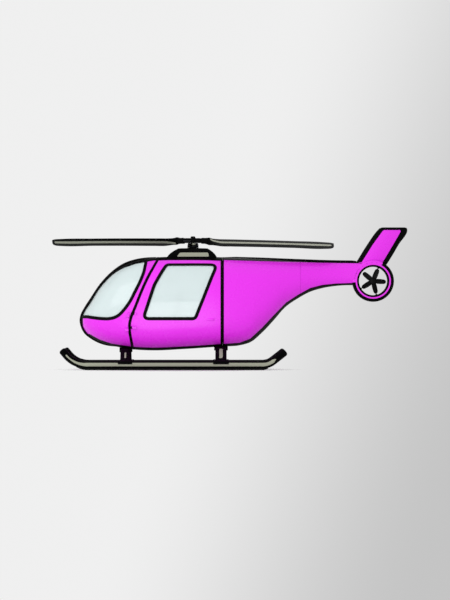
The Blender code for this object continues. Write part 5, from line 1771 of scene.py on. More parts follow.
class HELICOPTER_OT_tail_fan(bpy.types.Operator):
    """Builds the tail fan's blades and hub, and its gearbox on three struts"""

    bl_idname = "helicopter.tail_fan"
    bl_label = "Tail Fan"

    def execute(self, context):
        where = {"body": "fan_rotor", "slot": "black_enamel"}
        blades = {"Count": FAN_BLADES, "Radius": 0.0, "First Angle": radians(FAN_TURN)}
        blade = mesh_of(self.blade())
        grown("fan_blades", blade, "ring", blades, "satin_black", FAN_PLACE, node="tail_fan", **where)
        r, low, high = FAN_HUB, FAN_HUB_LOW, FAN_HUB_HIGH
        rim, turns = high - FAN_HUB_DOME, spread(0, pi / 2, 8)[:-1]
        dome = [(r * cos(turn), rim + FAN_HUB_DOME * sin(turn)) for turn in turns]
        hub = turned([(0, low), (r - 0.003, low), (r, low + 0.003), *dome, (0, high)], FAN_PLACE, 48)
        solid("fan_hub", hub, "satin_black", **where)
        bolts = {**blades, "Count": 6, "Radius": r * 0.62}
        head = mesh_of(bolt(0.0045, 0.006, high - 0.006))
        grown("fan_hub_bolts", head, "ring", bolts, "steel", FAN_PLACE, **where)
        self.gearbox()
        return {"FINISHED"}

    def blade(self):
        """One blade along +X with a rounded tip, pitched about its length."""
        pitch = Matrix.Rotation(radians(FAN_PITCH), 4, "X").inverted()
        rings = []
        for out, half in through(FAN_BLADE, 3):
            ring = []
            for turn in round_turn(24):
                thick = FAN_BLADE_HALF_THICKNESS * sin(turn) * min(1.0, half / 0.03)
                across = pitch @ Vector((0, half * cos(turn), thick))
                ring.append(Vector((out, 0, FAN_BLADE_SHIFT)) + across)
            rings.append(ring)
        return ring_mesh(rings)

    def gearbox(self):
        low, high = GEARBOX_LOW, GEARBOX_HIGH
        profile = [(0, low), (0.050, low), (0.058, low + 0.006)]
        for rib in range(5):
            z = low + 0.012 + 0.013 * rib
            profile += [(0.060, z), (0.060, z + 0.005), (0.053, z + 0.007), (0.053, z + 0.011)]
        profile += [(0.058, high - 0.004), (0.054, high), (0.030, high)]
        profile += [(0.030, high + 0.006), (0, high + 0.0065)]
        whole = [turned(profile, FAN_PLACE, 48)]
        for arm in range(3):
            angle = radians(FAN_TURN) + 2 * pi * (2 * arm - 1) / FAN_BLADES
            out = Vector((cos(angle), sin(angle), 0))
            for first, last, steps, half_sizes in (
                (0.050, DUCT_RADIUS - 0.001, 20, (STRUT_RADIUS * 1.25, STRUT_RADIUS * 0.7)),
                (DUCT_RADIUS - 0.010, DUCT_RADIUS - 0.0015, 24, (0.030, 0.026)),
            ):
                path = [out * reach + Vector((0, 0, STRUT_DEPTH)) for reach in (first, last)]
                whole.append(moved(pipe(path, (0, 0, 1), steps, half_sizes), FAN_PLACE))
        solid("fan_gearbox_and_struts", joined(*whole), "black", node="tail_fan_gearbox")


HINGE_HEIGHTS = (0.860, 1.150)
HINGE_PLACE = Matrix.Translation((HINGE_X, -HINGE_Y, 0))
KNUCKLE_RADIUS, LEAF_THICKNESS = 0.020, 0.010
SEAM_BLACK_HALF = 0.040


def over_seam(point):
    """The hinges are black where they cross the door's black edge."""
    return SEAM_BLACK_HALF - abs(point.x - level([(z, x) for x, z in DOOR_FRONT_EDGE], point.z))


class HELICOPTER_OT_hinges(bpy.types.Operator):
    """Builds the doors' hinges and their outer handles"""

    bl_idname = "helicopter.hinges"
    bl_label = "Hinges and Handles"

    def execute(self, context):
        for name, low, high, reach, foot, on_door in (
            ("nose_hinge_leaves", -0.050, 0.0, -0.085, 0.050, False),
            ("door_hinge_leaves", 0.0003, 0.050, 0.170, 0.060, True),
        ):
            leaves = [self.leaf(height + low, height + high, reach, foot) for height in HINGE_HEIGHTS]
            whole = joined(*leaves)
            long_edges = [edge for edge in whole.edges if edge.calc_length() > 2 * SEAM_BLACK_HALF / 3]
            bmesh.ops.subdivide_edges(whole, edges=long_edges, cuts=12, use_grid_fill=True)
            pair(name, whole, "magenta", on_door, trim=over_seam)
        pins = []
        for height in HINGE_HEIGHTS:
            low, top = height - 0.056, height - 0.0505
            pins.append(turned(
                [(0, low), (0.011, low), (0.013, low + 0.002), (0.013, top), (0, top)], HINGE_PLACE, 20
            ))
        pair("hinge_pin_heads", joined(*pins), "steel")
        heads("nose_hinge_screws", both_sides(self.screws((-0.037, -0.013), (-0.073, -0.037))), 0.036, 0.005)
        left = self.screws((0.013, 0.037), (0.045, 0.155))
        for side, paths in (("left", left), ("right", both_sides(left)[len(left):])):
            heads(f"door_hinge_screws_{side}", paths, 0.036, 0.005, body=carrier(side, True))
        pair("door_handle", self.handle(), "magenta", on_door=True)
        return {"FINISHED"}

    def screws(self, heights, reaches):
        """Rows over the left leaves' outer faces, at heights from each hinge's middle."""
        out, face = Vector((0, -1, 0)), -HINGE_Y - LEAF_THICKNESS / 2
        return [
            [(Vector((HINGE_X + reach, face, hinge + height)), out) for reach in reaches]
            for hinge in HINGE_HEIGHTS for height in heights
        ]

    def leaf(self, low, high, reach, foot):
        """A knuckle on the axis, a plate beside the skin, and the stem that stands in the skin."""
        r, edge = KNUCKLE_RADIUS, 0.002
        knuckle = turned([
            (0, low), (r - edge, low), (r, low + edge), (r, high - edge), (r - edge, high), (0, high)
        ], HINGE_PLACE, 32)
        near, far = sorted((HINGE_X, HINGE_X + reach))
        half = LEAF_THICKNESS / 2
        plate = block((near, -HINGE_Y - half, low), (far, -HINGE_Y + half, high), 0.002)
        end = far - foot if reach > 0 else near
        inner = skin().side(end + foot / 2, (low + high) / 2).y + 0.012
        return joined(knuckle, plate, block((end, -HINGE_Y, low + 0.004), (end + foot, inner, high - 0.004)))

    def handle(self):
        """A paddle over a shallow plate, under the window's rear corner."""
        (x0, y, z0), (x1, z1) = (0.300, -0.762, 1.040), (0.440, 1.068)
        out = skin().side(0.370, 1.054).y
        plate = block((x0 - 0.012, out - 0.006, z0 - 0.010), (x1 + 0.012, out + 0.012, z1 + 0.010), 0.005)
        paddle = block((x0, y, z0 + 0.002), (x1, y + 0.014, z1), 0.006)
        post = block((x1 - 0.030, y + 0.006, z0 + 0.004), (x1 - 0.006, out + 0.004, z1 - 0.004), 0.003)
        return joined(plate, paddle, post)


LAMP_AXIS = (Vector((-2.160, 0.210, 0.600)), Vector((-1.980, 0.190, 0.800)))
LAMP_RADIUS, LAMP_HOLE = 0.080, 0.0806


class HELICOPTER_OT_landing_lamp(bpy.types.Operator):
    """Builds the landing lamp: its lens, its reflector with the bulb, and the ring round it"""

    bl_idname = "helicopter.landing_lamp"
    bl_label = "Landing Lamp"

    def execute(self, context):
        start, end = LAMP_AXIS
        lens = keep(layer("lamp_lens", 0.003, -0.003), rod("lamp_edge", start, end, LAMP_RADIUS))
        panel(lens, "clear_glass", node="landing_lamp")
        ahead = (end - start).normalized()
        turn = facing(ahead)
        place = Matrix.Translation(skin().hit(start, ahead)) @ turn
        bowl = [(0.078, 0.006), (0.066, 0.022), (0.046, 0.040), (0.022, 0.050), (0.0, 0.052)]
        profile = [*bowl, *[(r + 0.001 if r else 0.0, z + 0.003) for r, z in reversed(bowl)]]
        solid("lamp_reflector", turned(profile, place, 48), "mirror")
        bulb = [(0, 0.052), (0.009, 0.051), (0.010, 0.030), (0.008, 0.023), (0, 0.020)]
        solid("lamp_bulb", turned(bulb, place, 24), "clear_glass")
        side, up, _ = turn.to_3x3().transposed()
        path = []
        for angle in round_turn(48):
            out = (side * cos(angle) + up * sin(angle)) * (LAMP_HOLE + 0.006)
            path.append(skin().hit(start + out, ahead))
        solid("lamp_ring", strip_mesh(path, seal_section(-0.008, 0.008, 0.004), closed=True), "steel")
        return {"FINISHED"}


FUEL_CAP = (0.800, 1.980)  # x and z, on the right side
GRILLE_BORDER, GRILLE_SLATS, SLAT_TILT = 0.030, 9, 38.0


class HELICOPTER_OT_engine_bay(bpy.types.Operator):
    """Builds the fuel cap, the air intake's grille and the exhaust pipe, all on the right side"""

    bl_idname = "helicopter.engine_bay"
    bl_label = "Fuel Cap, Intake and Exhaust"

    def execute(self, context):
        self.fuel_cap()
        self.grille()
        self.exhaust()
        return {"FINISHED"}

    def fuel_cap(self):
        """A flush cap with a fold-down grip, in a ring."""
        place, out = (Vector((v.x, -v.y, v.z)) for v in skin().nearest(skin().side(*FUEL_CAP)))
        upright = along(place, place + out)
        ring = [(0.062, -0.010), (0.062, 0.002), (0.058, 0.004), (0.052, 0.004), (0.050, -0.010)]
        plate = [(0, -0.008), (0.0485, -0.008), (0.0485, 0.002), (0.046, 0.004), (0, 0.005)]
        grip = moved(block((-0.034, -0.007, 0.003), (0.034, 0.007, 0.011), 0.003), upright)
        solid("fuel_cap", joined(turned(ring, upright), turned(plate, upright, 48), grip), "steel")

    def grille(self):
        rim = keep(layer("grille_rim", -0.004, -0.030), grille_space("grille_edge"))
        cut(rim, grille_space("middle", GRILLE_BORDER))
        panel(rim, "black", node="air_intake_grille")
        screen = keep(layer("intake_screen", -0.0315, -0.034), grille_space("screen_edge", 0.004))
        panel(screen, "woven_screen")
        low, high = grille_corners()
        border, tilt = GRILLE_BORDER, radians(SLAT_TILT)
        first = low.x + border - 0.006
        paths = []
        for slat in range(GRILLE_SLATS):
            z = low.z + border + (high.z - low.z - 2 * border) * (slat + 0.5) / GRILLE_SLATS
            path = []
            for step in range(13):
                x = first + (high.x - low.x - 2 * border + 0.012) * step / 12
                out, up = skin().nearest(skin().hit((x, 3.0, z), (0, -1, 0)))
                path.append((out - up * 0.017, up * cos(tilt) - Vector((0, 0, 1)) * sin(tilt)))
            paths.append(path)
        grown("grille_slats", path_mesh(paths), "sweep", {"Height": 0.024, "Width": 0.0025}, "black")

    def exhaust(self):
        """A stub with a rolled lip, on a bolted flange whose foot lies in the skin."""
        start, end = Vector((1.420, 0.400, 1.150)), Vector((1.640, 0.780, 1.060))
        length = (end - start).length
        place = Matrix.Translation(start) @ facing((end - start).normalized())
        r, bore, flange, face = 0.058, 0.050, 0.085, 0.208
        profile = [
            (0, 0.05), (flange, 0.05), (flange, face - 0.004), (flange - 0.004, face), (r + 0.004, face),
            (r + 0.001, face + 0.004), (r, face + 0.014), (r, length - 0.012), (r + 0.0025, length - 0.006),
            (r + 0.001, length), (bore + 0.001, length), (bore, length - 0.006), (bore, face + 0.06),
            (0, face + 0.06),
        ]
        stack = object_of("exhaust_tube", turned(profile, place))
        cut(stack, object_of("side_seat", skin_mesh(0.0005, coarse=2)))
        solid("exhaust_stack", bmesh_of(stack.data), "tinted_steel", node="exhaust_pipe")
        bpy.data.objects.remove(stack)
        bolts = {"Count": 6, "Radius": 0.0725}
        grown("exhaust_bolts", mesh_of(bolt(0.0055, 0.008, face)), "ring", bolts, "steel", place)


RIVET_SPACING, RIVET_RADIUS, SPAR_SHARES, SPAR_FOOT_Z = 0.045, 0.0055, (0.32, 0.72), 2.36
DUCT_SCREW_CIRCLE, COVER_SCREWS_X, COVER_SCREWS_LENGTH = 0.385, 0.95, 2.35
# Where rows of rivets run round the fuselage
RIVET_RINGS = (
    FRAME_JOIN_X + 0.055, 1.180, 1.560, 1.900, BOOM_JOIN_X - 0.030, BOOM_JOIN_X + 0.030, 2.650, 3.000,
)
# Rows along the side: (first x, last x, share of the section's quarter, upwards positive)
RIVET_ROWS = (
    (FRAME_JOIN_X + 0.055, BOOM_JOIN_X - 0.030, 0.42), (FRAME_JOIN_X + 0.055, BOOM_JOIN_X - 0.030, -0.30),
    (BOOM_JOIN_X + 0.030, 3.330, 0.45), (BOOM_JOIN_X + 0.030, 3.330, -0.45),
)


class HELICOPTER_OT_fasteners(bpy.types.Operator):
    """Sets the rivets of the frames and stringers, and the screws of the removable parts"""

    bl_idname = "helicopter.fasteners"
    bl_label = "Rivets and Screws"

    def execute(self, context):
        frames = [on_skin(ring_path(x, middle=1.3 if x < 1.5 else 1.95)) for x in RIVET_RINGS]
        stringers = []
        for first, last, share in RIVET_ROWS:
            rings = [section_ring(row, 40) for row in section_rows(8) if first <= row[0] <= last]
            stringers.append(on_skin(even([ring[round(40 * share) % len(ring)] for ring in rings], 0.03)))
        for name, paths in (("frame_rivets", frames), ("stringer_rivets", stringers)):
            heads(name, both_sides(paths), RIVET_SPACING, RIVET_RADIUS, "magenta", trim=trim_distance)
        self.fin()
        self.duct()
        self.cowling()
        self.cover()
        return {"FINISHED"}

    def fin(self):
        """Two spar rows on each side of the fin."""
        paths = []
        for share in SPAR_SHARES:
            path = []
            for z, lead, trail, half in through(FIN_STATIONS[:-1], 6):
                if z > SPAR_FOOT_Z:
                    place = Vector((lead + (trail - lead) * share, -fin_thickness(share) * half, z))
                    path.append((place, Vector((0, -1, 0))))
            paths.append(path)
        heads("fin_rivets", both_sides(paths), RIVET_SPACING, 0.005, "magenta")

    def duct(self):
        """Screws round both faces of the fan's duct."""
        paths = []
        for side in (-1, 1):
            up = FAN_PLACE.to_3x3() @ Vector((0, 0, side))
            height = side * (SHROUD_HALF_DEPTH + 0.0005)
            r, turns = DUCT_SCREW_CIRCLE, spread(0, 2 * pi, 120)
            circle = [Vector((r * cos(turn), r * sin(turn), height)) for turn in turns]
            paths.append([(FAN_PLACE @ at, up) for at in circle])
        heads("duct_screws", paths, 0.1008, 0.006, "black")

    def cowling(self):
        """Screws along the mast cowling's lower edge."""
        z, front, rear, half = through(COWLING_LEVELS[:2], 4)[3]
        points = [Vector(p) for p in cowling_ring(z, front, rear, half)]
        centre = Vector(((front + rear) / 2, 0, z))
        path = [(p, (p - centre).normalized()) for p in even(points, 0.02, closed=True)]
        heads("cowling_screws", [path], 0.11, 0.006, "black")

    def cover(self):
        """Screws along both flanks of the tail shaft's cover."""
        paths = []
        for side in (-1, 1):
            path = []
            for step in range(60):
                x = COVER_SCREWS_X + COVER_SCREWS_LENGTH * step / 59
                width, _, roof = shaft_cover_at(x)
                path.append((Vector((x, side * (width - 0.006), roof + 0.008)), Vector((0, side, 0.3))))
            paths.append(path)
        heads("shaft_cover_screws", paths, 0.12, 0.006)


FLOOR_TOP, SEAT_BASE, BULKHEAD_FACE = 0.620, 0.8603, 0.6345
PAD_VOXEL, PAD_PRESSURE, PAD_FRAMES, PAD_SWELL = 0.010, 4.0, 20, 0.024
PAD_INSET = 0.014  # in its thickness, because a pad swells there and pulls its sides in
CHANNEL_DEPTH, CHANNEL_WIDTH = 0.011, 0.009
CUSHION_HEIGHT, FRONT_SEAT_Y, FRONT_SEAT_HALF, REAR_SEAT_HALF = 0.105, 0.265, 0.215, 0.480
FRONT_SPAN, REAR_SPAN = (-0.970, -0.480), (0.060, 0.520)  # the cushions' front and rear edges
FRONT_SEAMS, REAR_SEAMS = (-0.145, 0.145), (-0.240, 0.0, 0.240)
CUSHION_ROWS, BACK_ROWS, BELT_LIFT = 3, 5, 0.0022


def soft_prism(outline, low, high, edge, steps=3):
    """An outline of (x, z) drawn out along Y, with its two rims rounded."""
    outline = [Vector(p) for p in outline]
    centre = sum(outline, Vector((0, 0))) / len(outline)
    reach = max((p - centre).length for p in outline)
    rings = []
    for end, inward in ((low, 1), (high, -1)):
        part = []
        for turn in spread(0, pi / 2, steps):
            shrink = 1 - edge * (1 - sin(turn)) / reach
            y = end + inward * edge * (1 - cos(turn))
            part.append([
                (centre.x + (p.x - centre.x) * shrink, y, centre.y + (p.y - centre.y) * shrink)
                for p in outline
            ])
        rings += part if inward > 0 else reversed(part)
    return ring_mesh(rings)


def swollen(name, bm):
    """A pad of cloth blown up round its foam. No point moves further than the cover would stretch."""
    made = object_of(name, bm)
    remesh = made.modifiers.new("remesh", "REMESH")
    remesh.mode, remesh.voxel_size = "VOXEL", PAD_VOXEL
    apply_modifiers(made)
    before = [v.co.copy() for v in made.data.vertices]
    cloth = made.modifiers.new("cloth", "CLOTH")
    cloth.settings.use_pressure = True
    cloth.settings.uniform_pressure_force = PAD_PRESSURE
    cloth.settings.effector_weights.gravity = 0.0
    cloth.point_cache.frame_end = PAD_FRAMES
    for frame in range(1, PAD_FRAMES + 1):
        bpy.context.scene.frame_set(frame)
    result = evaluated(made)
    made.modifiers.clear()
    made.data = result
    bpy.context.scene.frame_set(1)
    for v, start in zip(result.vertices, before):
        shift = v.co - start
        if shift.length > PAD_SWELL:
            v.co = start + shift * (PAD_SWELL / shift.length)
    finer = made.modifiers.new("finer", "SUBSURF")
    finer.levels = finer.render_levels = 1
    apply_modifiers(made)
    return made


def sewn(made, faces, distance):
    """Presses channels into a pad where it looks towards faces. Gives the surface that belts lie on.

    distance gives a point's way to the nearest seam.
    """
    bm = bmesh_of(made.data)
    bm.normal_update()
    for v in bm.verts:
        if v.normal.dot(faces) > 0.35:
            v.co -= faces * (CHANNEL_DEPTH * exp(-(distance(v.co) / CHANNEL_WIDTH) ** 2))
    bm.to_mesh(made.data)
    bm.free()
    bm = bmesh_of(made.data)
    tree = BVHTree.FromBMesh(bm)
    bm.free()
    return tree


def seam_distance(point, middle, seams, along, pitch, inner):
    """The way to the nearest of the seams, or of the rows across them where inner allows rows."""
    across = min(abs(point.y - middle - seam) for seam in seams)
    if inner and abs(point.y - middle) < max(abs(seam) for seam in seams):
        return min(across, abs(along / pitch - round(along / pitch)) * pitch)
    return across


def laid(tree, points, direction):
    """A path dropped on a pad along a direction, as (point, up) pairs."""
    path = []
    for point in points:
        place, normal, _, _ = tree.ray_cast(Vector(point), Vector(direction))
        if place:
            path.append((place + normal * BELT_LIFT, normal))
    return path


class HELICOPTER_OT_seats(bpy.types.Operator):
    """Builds the padded cushions and backs with their channels, piping and belts"""

    bl_idname = "helicopter.seats"
    bl_label = "Seats"

    def execute(self, context):
        outline = (
            (-0.478, SEAT_BASE), (-0.380, SEAT_BASE), (-0.215, 1.640), (-0.250, 1.680), (-0.305, 1.660),
        )
        place = (-FRONT_SEAT_Y, FRONT_SEAT_HALF, FRONT_SEAMS)
        pads = self.seat("front", FRONT_SPAN, outline, place, (-FRONT_SEAT_Y, -0.530, -0.640))
        for made, part in pads:
            for word, form in (("left", made), ("right", mirrored(made, f"{made.name}_right"))):
                self.finish_pad(form, f"front_{part}_{word}")
        outline = ((0.5215, SEAT_BASE), (0.6347, SEAT_BASE), (0.6347, 1.620), (0.590, 1.650), (0.560, 1.620))
        place = (0.0, REAR_SEAT_HALF, REAR_SEAMS)
        for made, part in self.seat("rear", REAR_SPAN, outline, place, (-0.240, 0.470, 0.360)):
            self.finish_pad(made, f"rear_{part}")
        return {"FINISHED"}

    def seat(self, word, span, outline, place, belt):
        """A cushion and a back with their piping and belts."""
        cushion, surface = self.cushion(f"{word}_seat_pad", span, *place)
        back, rest = self.back(f"{word}_back_pad", outline, *place)
        self.piping(f"{word}_piping", surface, span, *place[:2])
        self.belts(f"{word}_belts", surface, rest, *belt)
        return (cushion, "cushion"), (back, "back")

    def finish_pad(self, made, node):
        shaded(made.data, 80)
        settle(made, "seat_cloth", node=node)

    def cushion(self, name, span, middle, half, seams):
        """A seat cushion on its box: flat below, crowned above."""
        low, high = span
        top = SEAT_BASE + CUSHION_HEIGHT - PAD_INSET
        outline = rounded(((low, SEAT_BASE), (high, SEAT_BASE), (high, top), (low, top)), 0.035, 5)
        made = swollen(name, soft_prism(outline, middle - half, middle + half, 0.030))
        for v in made.data.vertices:
            v.co.z = max(v.co.z, SEAT_BASE + 0.0005)
        pitch = (high - low) / CUSHION_ROWS

        def distance(p):
            return seam_distance(p, middle, seams, p.x - low, pitch, low + 0.05 < p.x < high - 0.05)

        return made, sewn(made, Vector((0, 0, 1)), distance)

    def back(self, name, outline, middle, half, seams):
        """A seat back that leans aft, its channels on its front face."""
        corners = [Vector(p) for p in outline]
        foot, head = (corners[0] + corners[1]) / 2, (corners[2] + corners[4]) / 2
        across = Vector((head.y - foot.y, foot.x - head.x)).normalized()
        thinner = []
        for corner in corners:
            side = (corner - foot).dot(across)
            thinner.append(corner - across * copysign(min(PAD_INSET, abs(side)), side))
        made = swollen(name, soft_prism(rounded(thinner, 0.030, 5), middle - half, middle + half, 0.030))
        for v in made.data.vertices:
            v.co.z = max(v.co.z, SEAT_BASE + 0.0005)
            v.co.x = min(v.co.x, BULKHEAD_FACE)
        (x0, z0), (x1, z1) = outline[0], outline[-1]
        pitch = (z1 - z0) / BACK_ROWS

        def distance(p):
            return seam_distance(p, middle, seams, p.z - z0, pitch, z0 + 0.08 < p.z < z1 - 0.08)

        return made, sewn(made, Vector((z0 - z1, 0, x1 - x0)).normalized(), distance)

    def piping(self, name, surface, span, middle, half):
        """A corded seam round the cushion's upper edge."""
        corners = [(x, middle + side * half) for side in (-1, 1) for x in span[::-side]]
        height = SEAT_BASE + CUSHION_HEIGHT - 0.012
        path = []
        edge = [Vector((p.x, p.y, height)) for p in rounded(corners, 0.050, 6)]
        for point in even(edge, 0.012, closed=True):
            place, normal, _, _ = surface.find_nearest(point)
            path.append((place + normal * 0.0015, normal))
        paths = both_sides([path]) if middle else [path]
        grown(name, path_mesh(paths, closed=True), "cord", {"Radius": 0.0035}, "piping")

    def belts(self, name, surface, rest, middle, anchor_x, buckle_x):
        """A lap belt laid over the cushion and a shoulder belt down the back, with their buckle."""
        reach = anchor_x - buckle_x
        lap = [
            Vector((anchor_x - reach * cos(pi / 2 * t / 12) ** 2, middle + 0.185 * t / 12, 1.3))
            for t in range(-12, 13)
        ]
        shoulder = [
            Vector((anchor_x - 0.3, middle + 0.115 * share, 1.02 + 0.56 * share))
            for share in spread(0, 1, 16)
        ]
        paths = [laid(surface, lap, (0, 0, -1)), laid(rest, shoulder, (1, 0, 0))]
        grown(name, path_mesh(both_sides(paths)), "sweep", {"Height": 0.0016, "Width": 0.046}, "webbing")
        place, up, _, _ = surface.ray_cast(Vector((buckle_x, middle, 1.3)), Vector((0, 0, -1)))
        plate = block((-0.026, -0.034, 0.0), (0.026, 0.034, 0.016))
        button = block((-0.013, -0.028, 0.014), (0.013, -0.006, 0.019), 0.002)
        bm = moved(joined(plate, button), Matrix.Translation(place + up * 0.003) @ facing(up))
        solid(f"{name}_buckles", joined(bm.copy(), mirror_mesh(bm)), "satin_black")


FEET = FLOOR_TOP + 0.0003
PEDAL_X, PEDAL_SHAFT_Z, CONTROL_Y, PEDAL_SPREAD = -1.520, 0.660, 0.270, 0.075
DIAL_FACE_X = -1.6000
# (middle, height, radius) of the round dials in the hood
DIALS = (
    *[(y, 1.080, 0.040) for y in (-0.230, -0.138, -0.046, 0.046, 0.138, 0.230)],
    *[(y, 0.995, 0.031) for y in (-0.240, -0.170, 0.170, 0.240)],
)


class HELICOPTER_OT_cockpit(bpy.types.Operator):
    """Builds the instrument pedestal with its dials, and the pilots' controls"""

    bl_idname = "helicopter.cockpit"
    bl_label = "Cockpit"

    def execute(self, context):
        self.console()
        self.radios()
        self.dials()
        for word, y in (("left", -CONTROL_Y), ("right", CONTROL_Y)):
            solid(f"cyclic_stick_{word}", self.stick(y), "satin_black", node=f"cyclic_{word}")
            solid(f"pedal_set_{word}", self.pedals(y), "steel", node=f"pedals_{word}")
        path = through([(-0.560, 0, 0.900), (-0.760, 0, 0.955), (-0.985, 0, 1.038)], 8)
        lever = pipe(path, (0, 1, 0), 20, (0.013, 0.013))
        ribs = [(0, 0), (0.019, 0)]
        for rib in range(9):
            z = 0.006 + 0.013 * rib
            ribs += [(0.0210, z), (0.0210, z + 0.007), (0.0195, z + 0.009), (0.0195, z + 0.011)]
        ribs += [(0.012, 0.127), (0, 0.128)]
        grip = turned(ribs, along((-0.880, 0, 0.999), (-1.000, 0, 1.0437)), 24)
        foot = block((-0.590, -0.030, SEAT_BASE), (-0.520, 0.030, 0.925), 0.008)
        solid("collective_lever", joined(lever, grip, foot), "satin_black", node="collective")
        return {"FINISHED"}

    def stick(self, y):
        """A bent stick with its grip and trigger, in a pleated boot."""
        points = [(-1.160, FEET), (-1.160, 0.660), (-1.190, 0.800), (-1.120, 0.930), (-1.104, 1.000)]
        stick = pipe(through([(x, y, z) for x, z in points], 6), (0, 1, 0), 20, (0.013, 0.013))
        profile = [
            (0, 0), (0.015, 0), (0.0205, 0.006), (0.0190, 0.035), (0.0210, 0.070), (0.0205, 0.105),
            (0.0160, 0.121), (0.008, 0.127), (0, 0.128),
        ]
        grip = turned(profile, along((-1.124, y, 0.935), (-1.096, y, 1.060)), 24)
        trigger = block((-1.146, y - 0.005, 0.985), (-1.126, y + 0.005, 1.015), 0.003)
        pleats = [
            (0, 0), (0.055, 0), (0.055, 0.004), (0.046, 0.009), (0.049, 0.013), (0.038, 0.019),
            (0.041, 0.023), (0.028, 0.029), (0.030, 0.032), (0.014, 0.036), (0, 0.036),
        ]
        return joined(stick, grip, trigger, turned(pleats, Matrix.Translation((-1.160, y, FEET)), 32))

    def pedals(self, y):
        """Two pads on arms from one shaft, which lies on two feet."""
        shaft = [(PEDAL_X, y + end, PEDAL_SHAFT_Z) for end in (-0.110, 0.110)]
        parts = [pipe(shaft, (1, 0, 0), 20, (0.016, 0.016), ((0.85, 0.002),))]
        for at in (y - PEDAL_SPREAD, y + PEDAL_SPREAD):
            parts.append(block((-1.560, at - 0.040, 0.740), (-1.5485, at + 0.040, 0.850)))
            for rib in range(5):
                z = 0.752 + 0.020 * rib
                parts.append(block((-1.550, at - 0.034, z), (-1.545, at + 0.034, z + 0.008), 0.002))
            arm = through([(PEDAL_X, at, PEDAL_SHAFT_Z), (-1.545, at, 0.720), (-1.556, at, 0.790)], 5)
            parts.append(pipe(arm, (0, 1, 0), 16, (0.010, 0.010)))
            parts.append(block((-1.540, at - 0.015, FEET), (-1.500, at + 0.015, 0.668)))
        return joined(*parts)

    def console(self):
        side_view = (
            (-1.760, FEET), (-1.420, FEET), (-1.480, 0.860), (-1.560, 0.960), (-1.640, 1.120),
            (-1.780, 1.150), (-1.840, 1.090), (-1.820, 0.900),
        )
        hood = (
            (-1.820, 0.940), (-1.600, 0.940), (-1.600, 1.128), (-1.640, 1.140), (-1.780, 1.140),
            (-1.820, 1.110),
        )
        pedestal = soft_prism(rounded(side_view, 0.018, 4), -0.130, 0.130, 0.010)
        whole = joined(pedestal, soft_prism(rounded(hood, 0.016, 4), -0.310, 0.310, 0.014))
        solid("instrument_console", whole, "crackle", node="instrument_panel")

    def radios(self):
        """Three plates on the pedestal's slope, with a knob at each end."""
        slope = Matrix.Translation((-1.500, 0, 0.886)) @ Matrix.Rotation(radians(39), 4, "Y")
        profile = [(0, 0.002), (0.009, 0.002), (0.009, 0.014), (0.007, 0.016), (0, 0.016)]
        plates = []
        for row in range(3):
            low = -0.056 + 0.038 * row
            plates.append(moved(block((low, -0.100, -0.004), (low + 0.033, 0.100, 0.004), 0.002), slope))
            for knob in (-0.085, 0.085):
                plates.append(turned(profile, slope @ Matrix.Translation((low + 0.0165, knob, 0)), 20))
        solid("radio_plates", joined(*plates), "satin_black")

    def dials(self):
        """Round dials with plain ticks and one pointer each."""
        parts = {"bezels": [], "faces": [], "marks": [], "panes": []}
        for i, (y, z, r) in enumerate(DIALS):
            place = Matrix.Translation((DIAL_FACE_X - 0.002, y, z)) @ Matrix.Rotation(radians(90), 4, "Y")
            ring = [(r, 0), (r + 0.005, 0), (r + 0.005, 0.006), (r + 0.002, 0.009), (r, 0.007)]
            parts["bezels"].append(turned(ring, place, 40))
            for word, low, high in (("faces", 0, 0.003), ("panes", 0.0055, 0.0070)):
                parts[word].append(turned([(0, low), (r, low), (r, high), (0, high)], place, 40))
            tick = mesh_of(block((r * 0.74, -0.0009, 0.0028), (r * 0.92, 0.0009, 0.0034), 0.0002))
            ticks = bmesh_of(tree_result(tick, "ring", {"Count": 12, "Radius": 0.0}, "ink"))
            needle = block((-r * 0.15, -0.0012, 0.0036), (r * 0.70, 0.0012, 0.0044), 0.0003)
            pointing = Matrix.Rotation(radians(210 - 47 * i), 4, "Z")
            parts["marks"] += [moved(ticks, place), moved(needle, place @ pointing)]
        finishes = {"bezels": "satin_black", "faces": "crackle", "marks": "ink", "panes": "clear_glass"}
        for word, finish in finishes.items():
            solid(f"dial_{word}", joined(*parts[word]), finish)


# (name, place, size, energy)
LIGHTS = (
    ("key_light", (-6.5, -11.0, 6.0), 7.0, 305.0), ("fill_light", (-1.5, -11.0, -0.8), 6.0, 300.0),
    ("rear_light", (3.0, 10.0, 8.0), 7.0, 240.0),
)
LIT_POINT, CAMERA_X, CAMERA_Z = Vector((0, 0, 1.2)), -0.098, 1.460
FLOOR_RADIUS, FLOOR_FADE_X = 14.0, 1.1


def placed(name, data, location, turn):
    made = linked(name, data)
    made.location, made.rotation_euler = location, turn
    return made


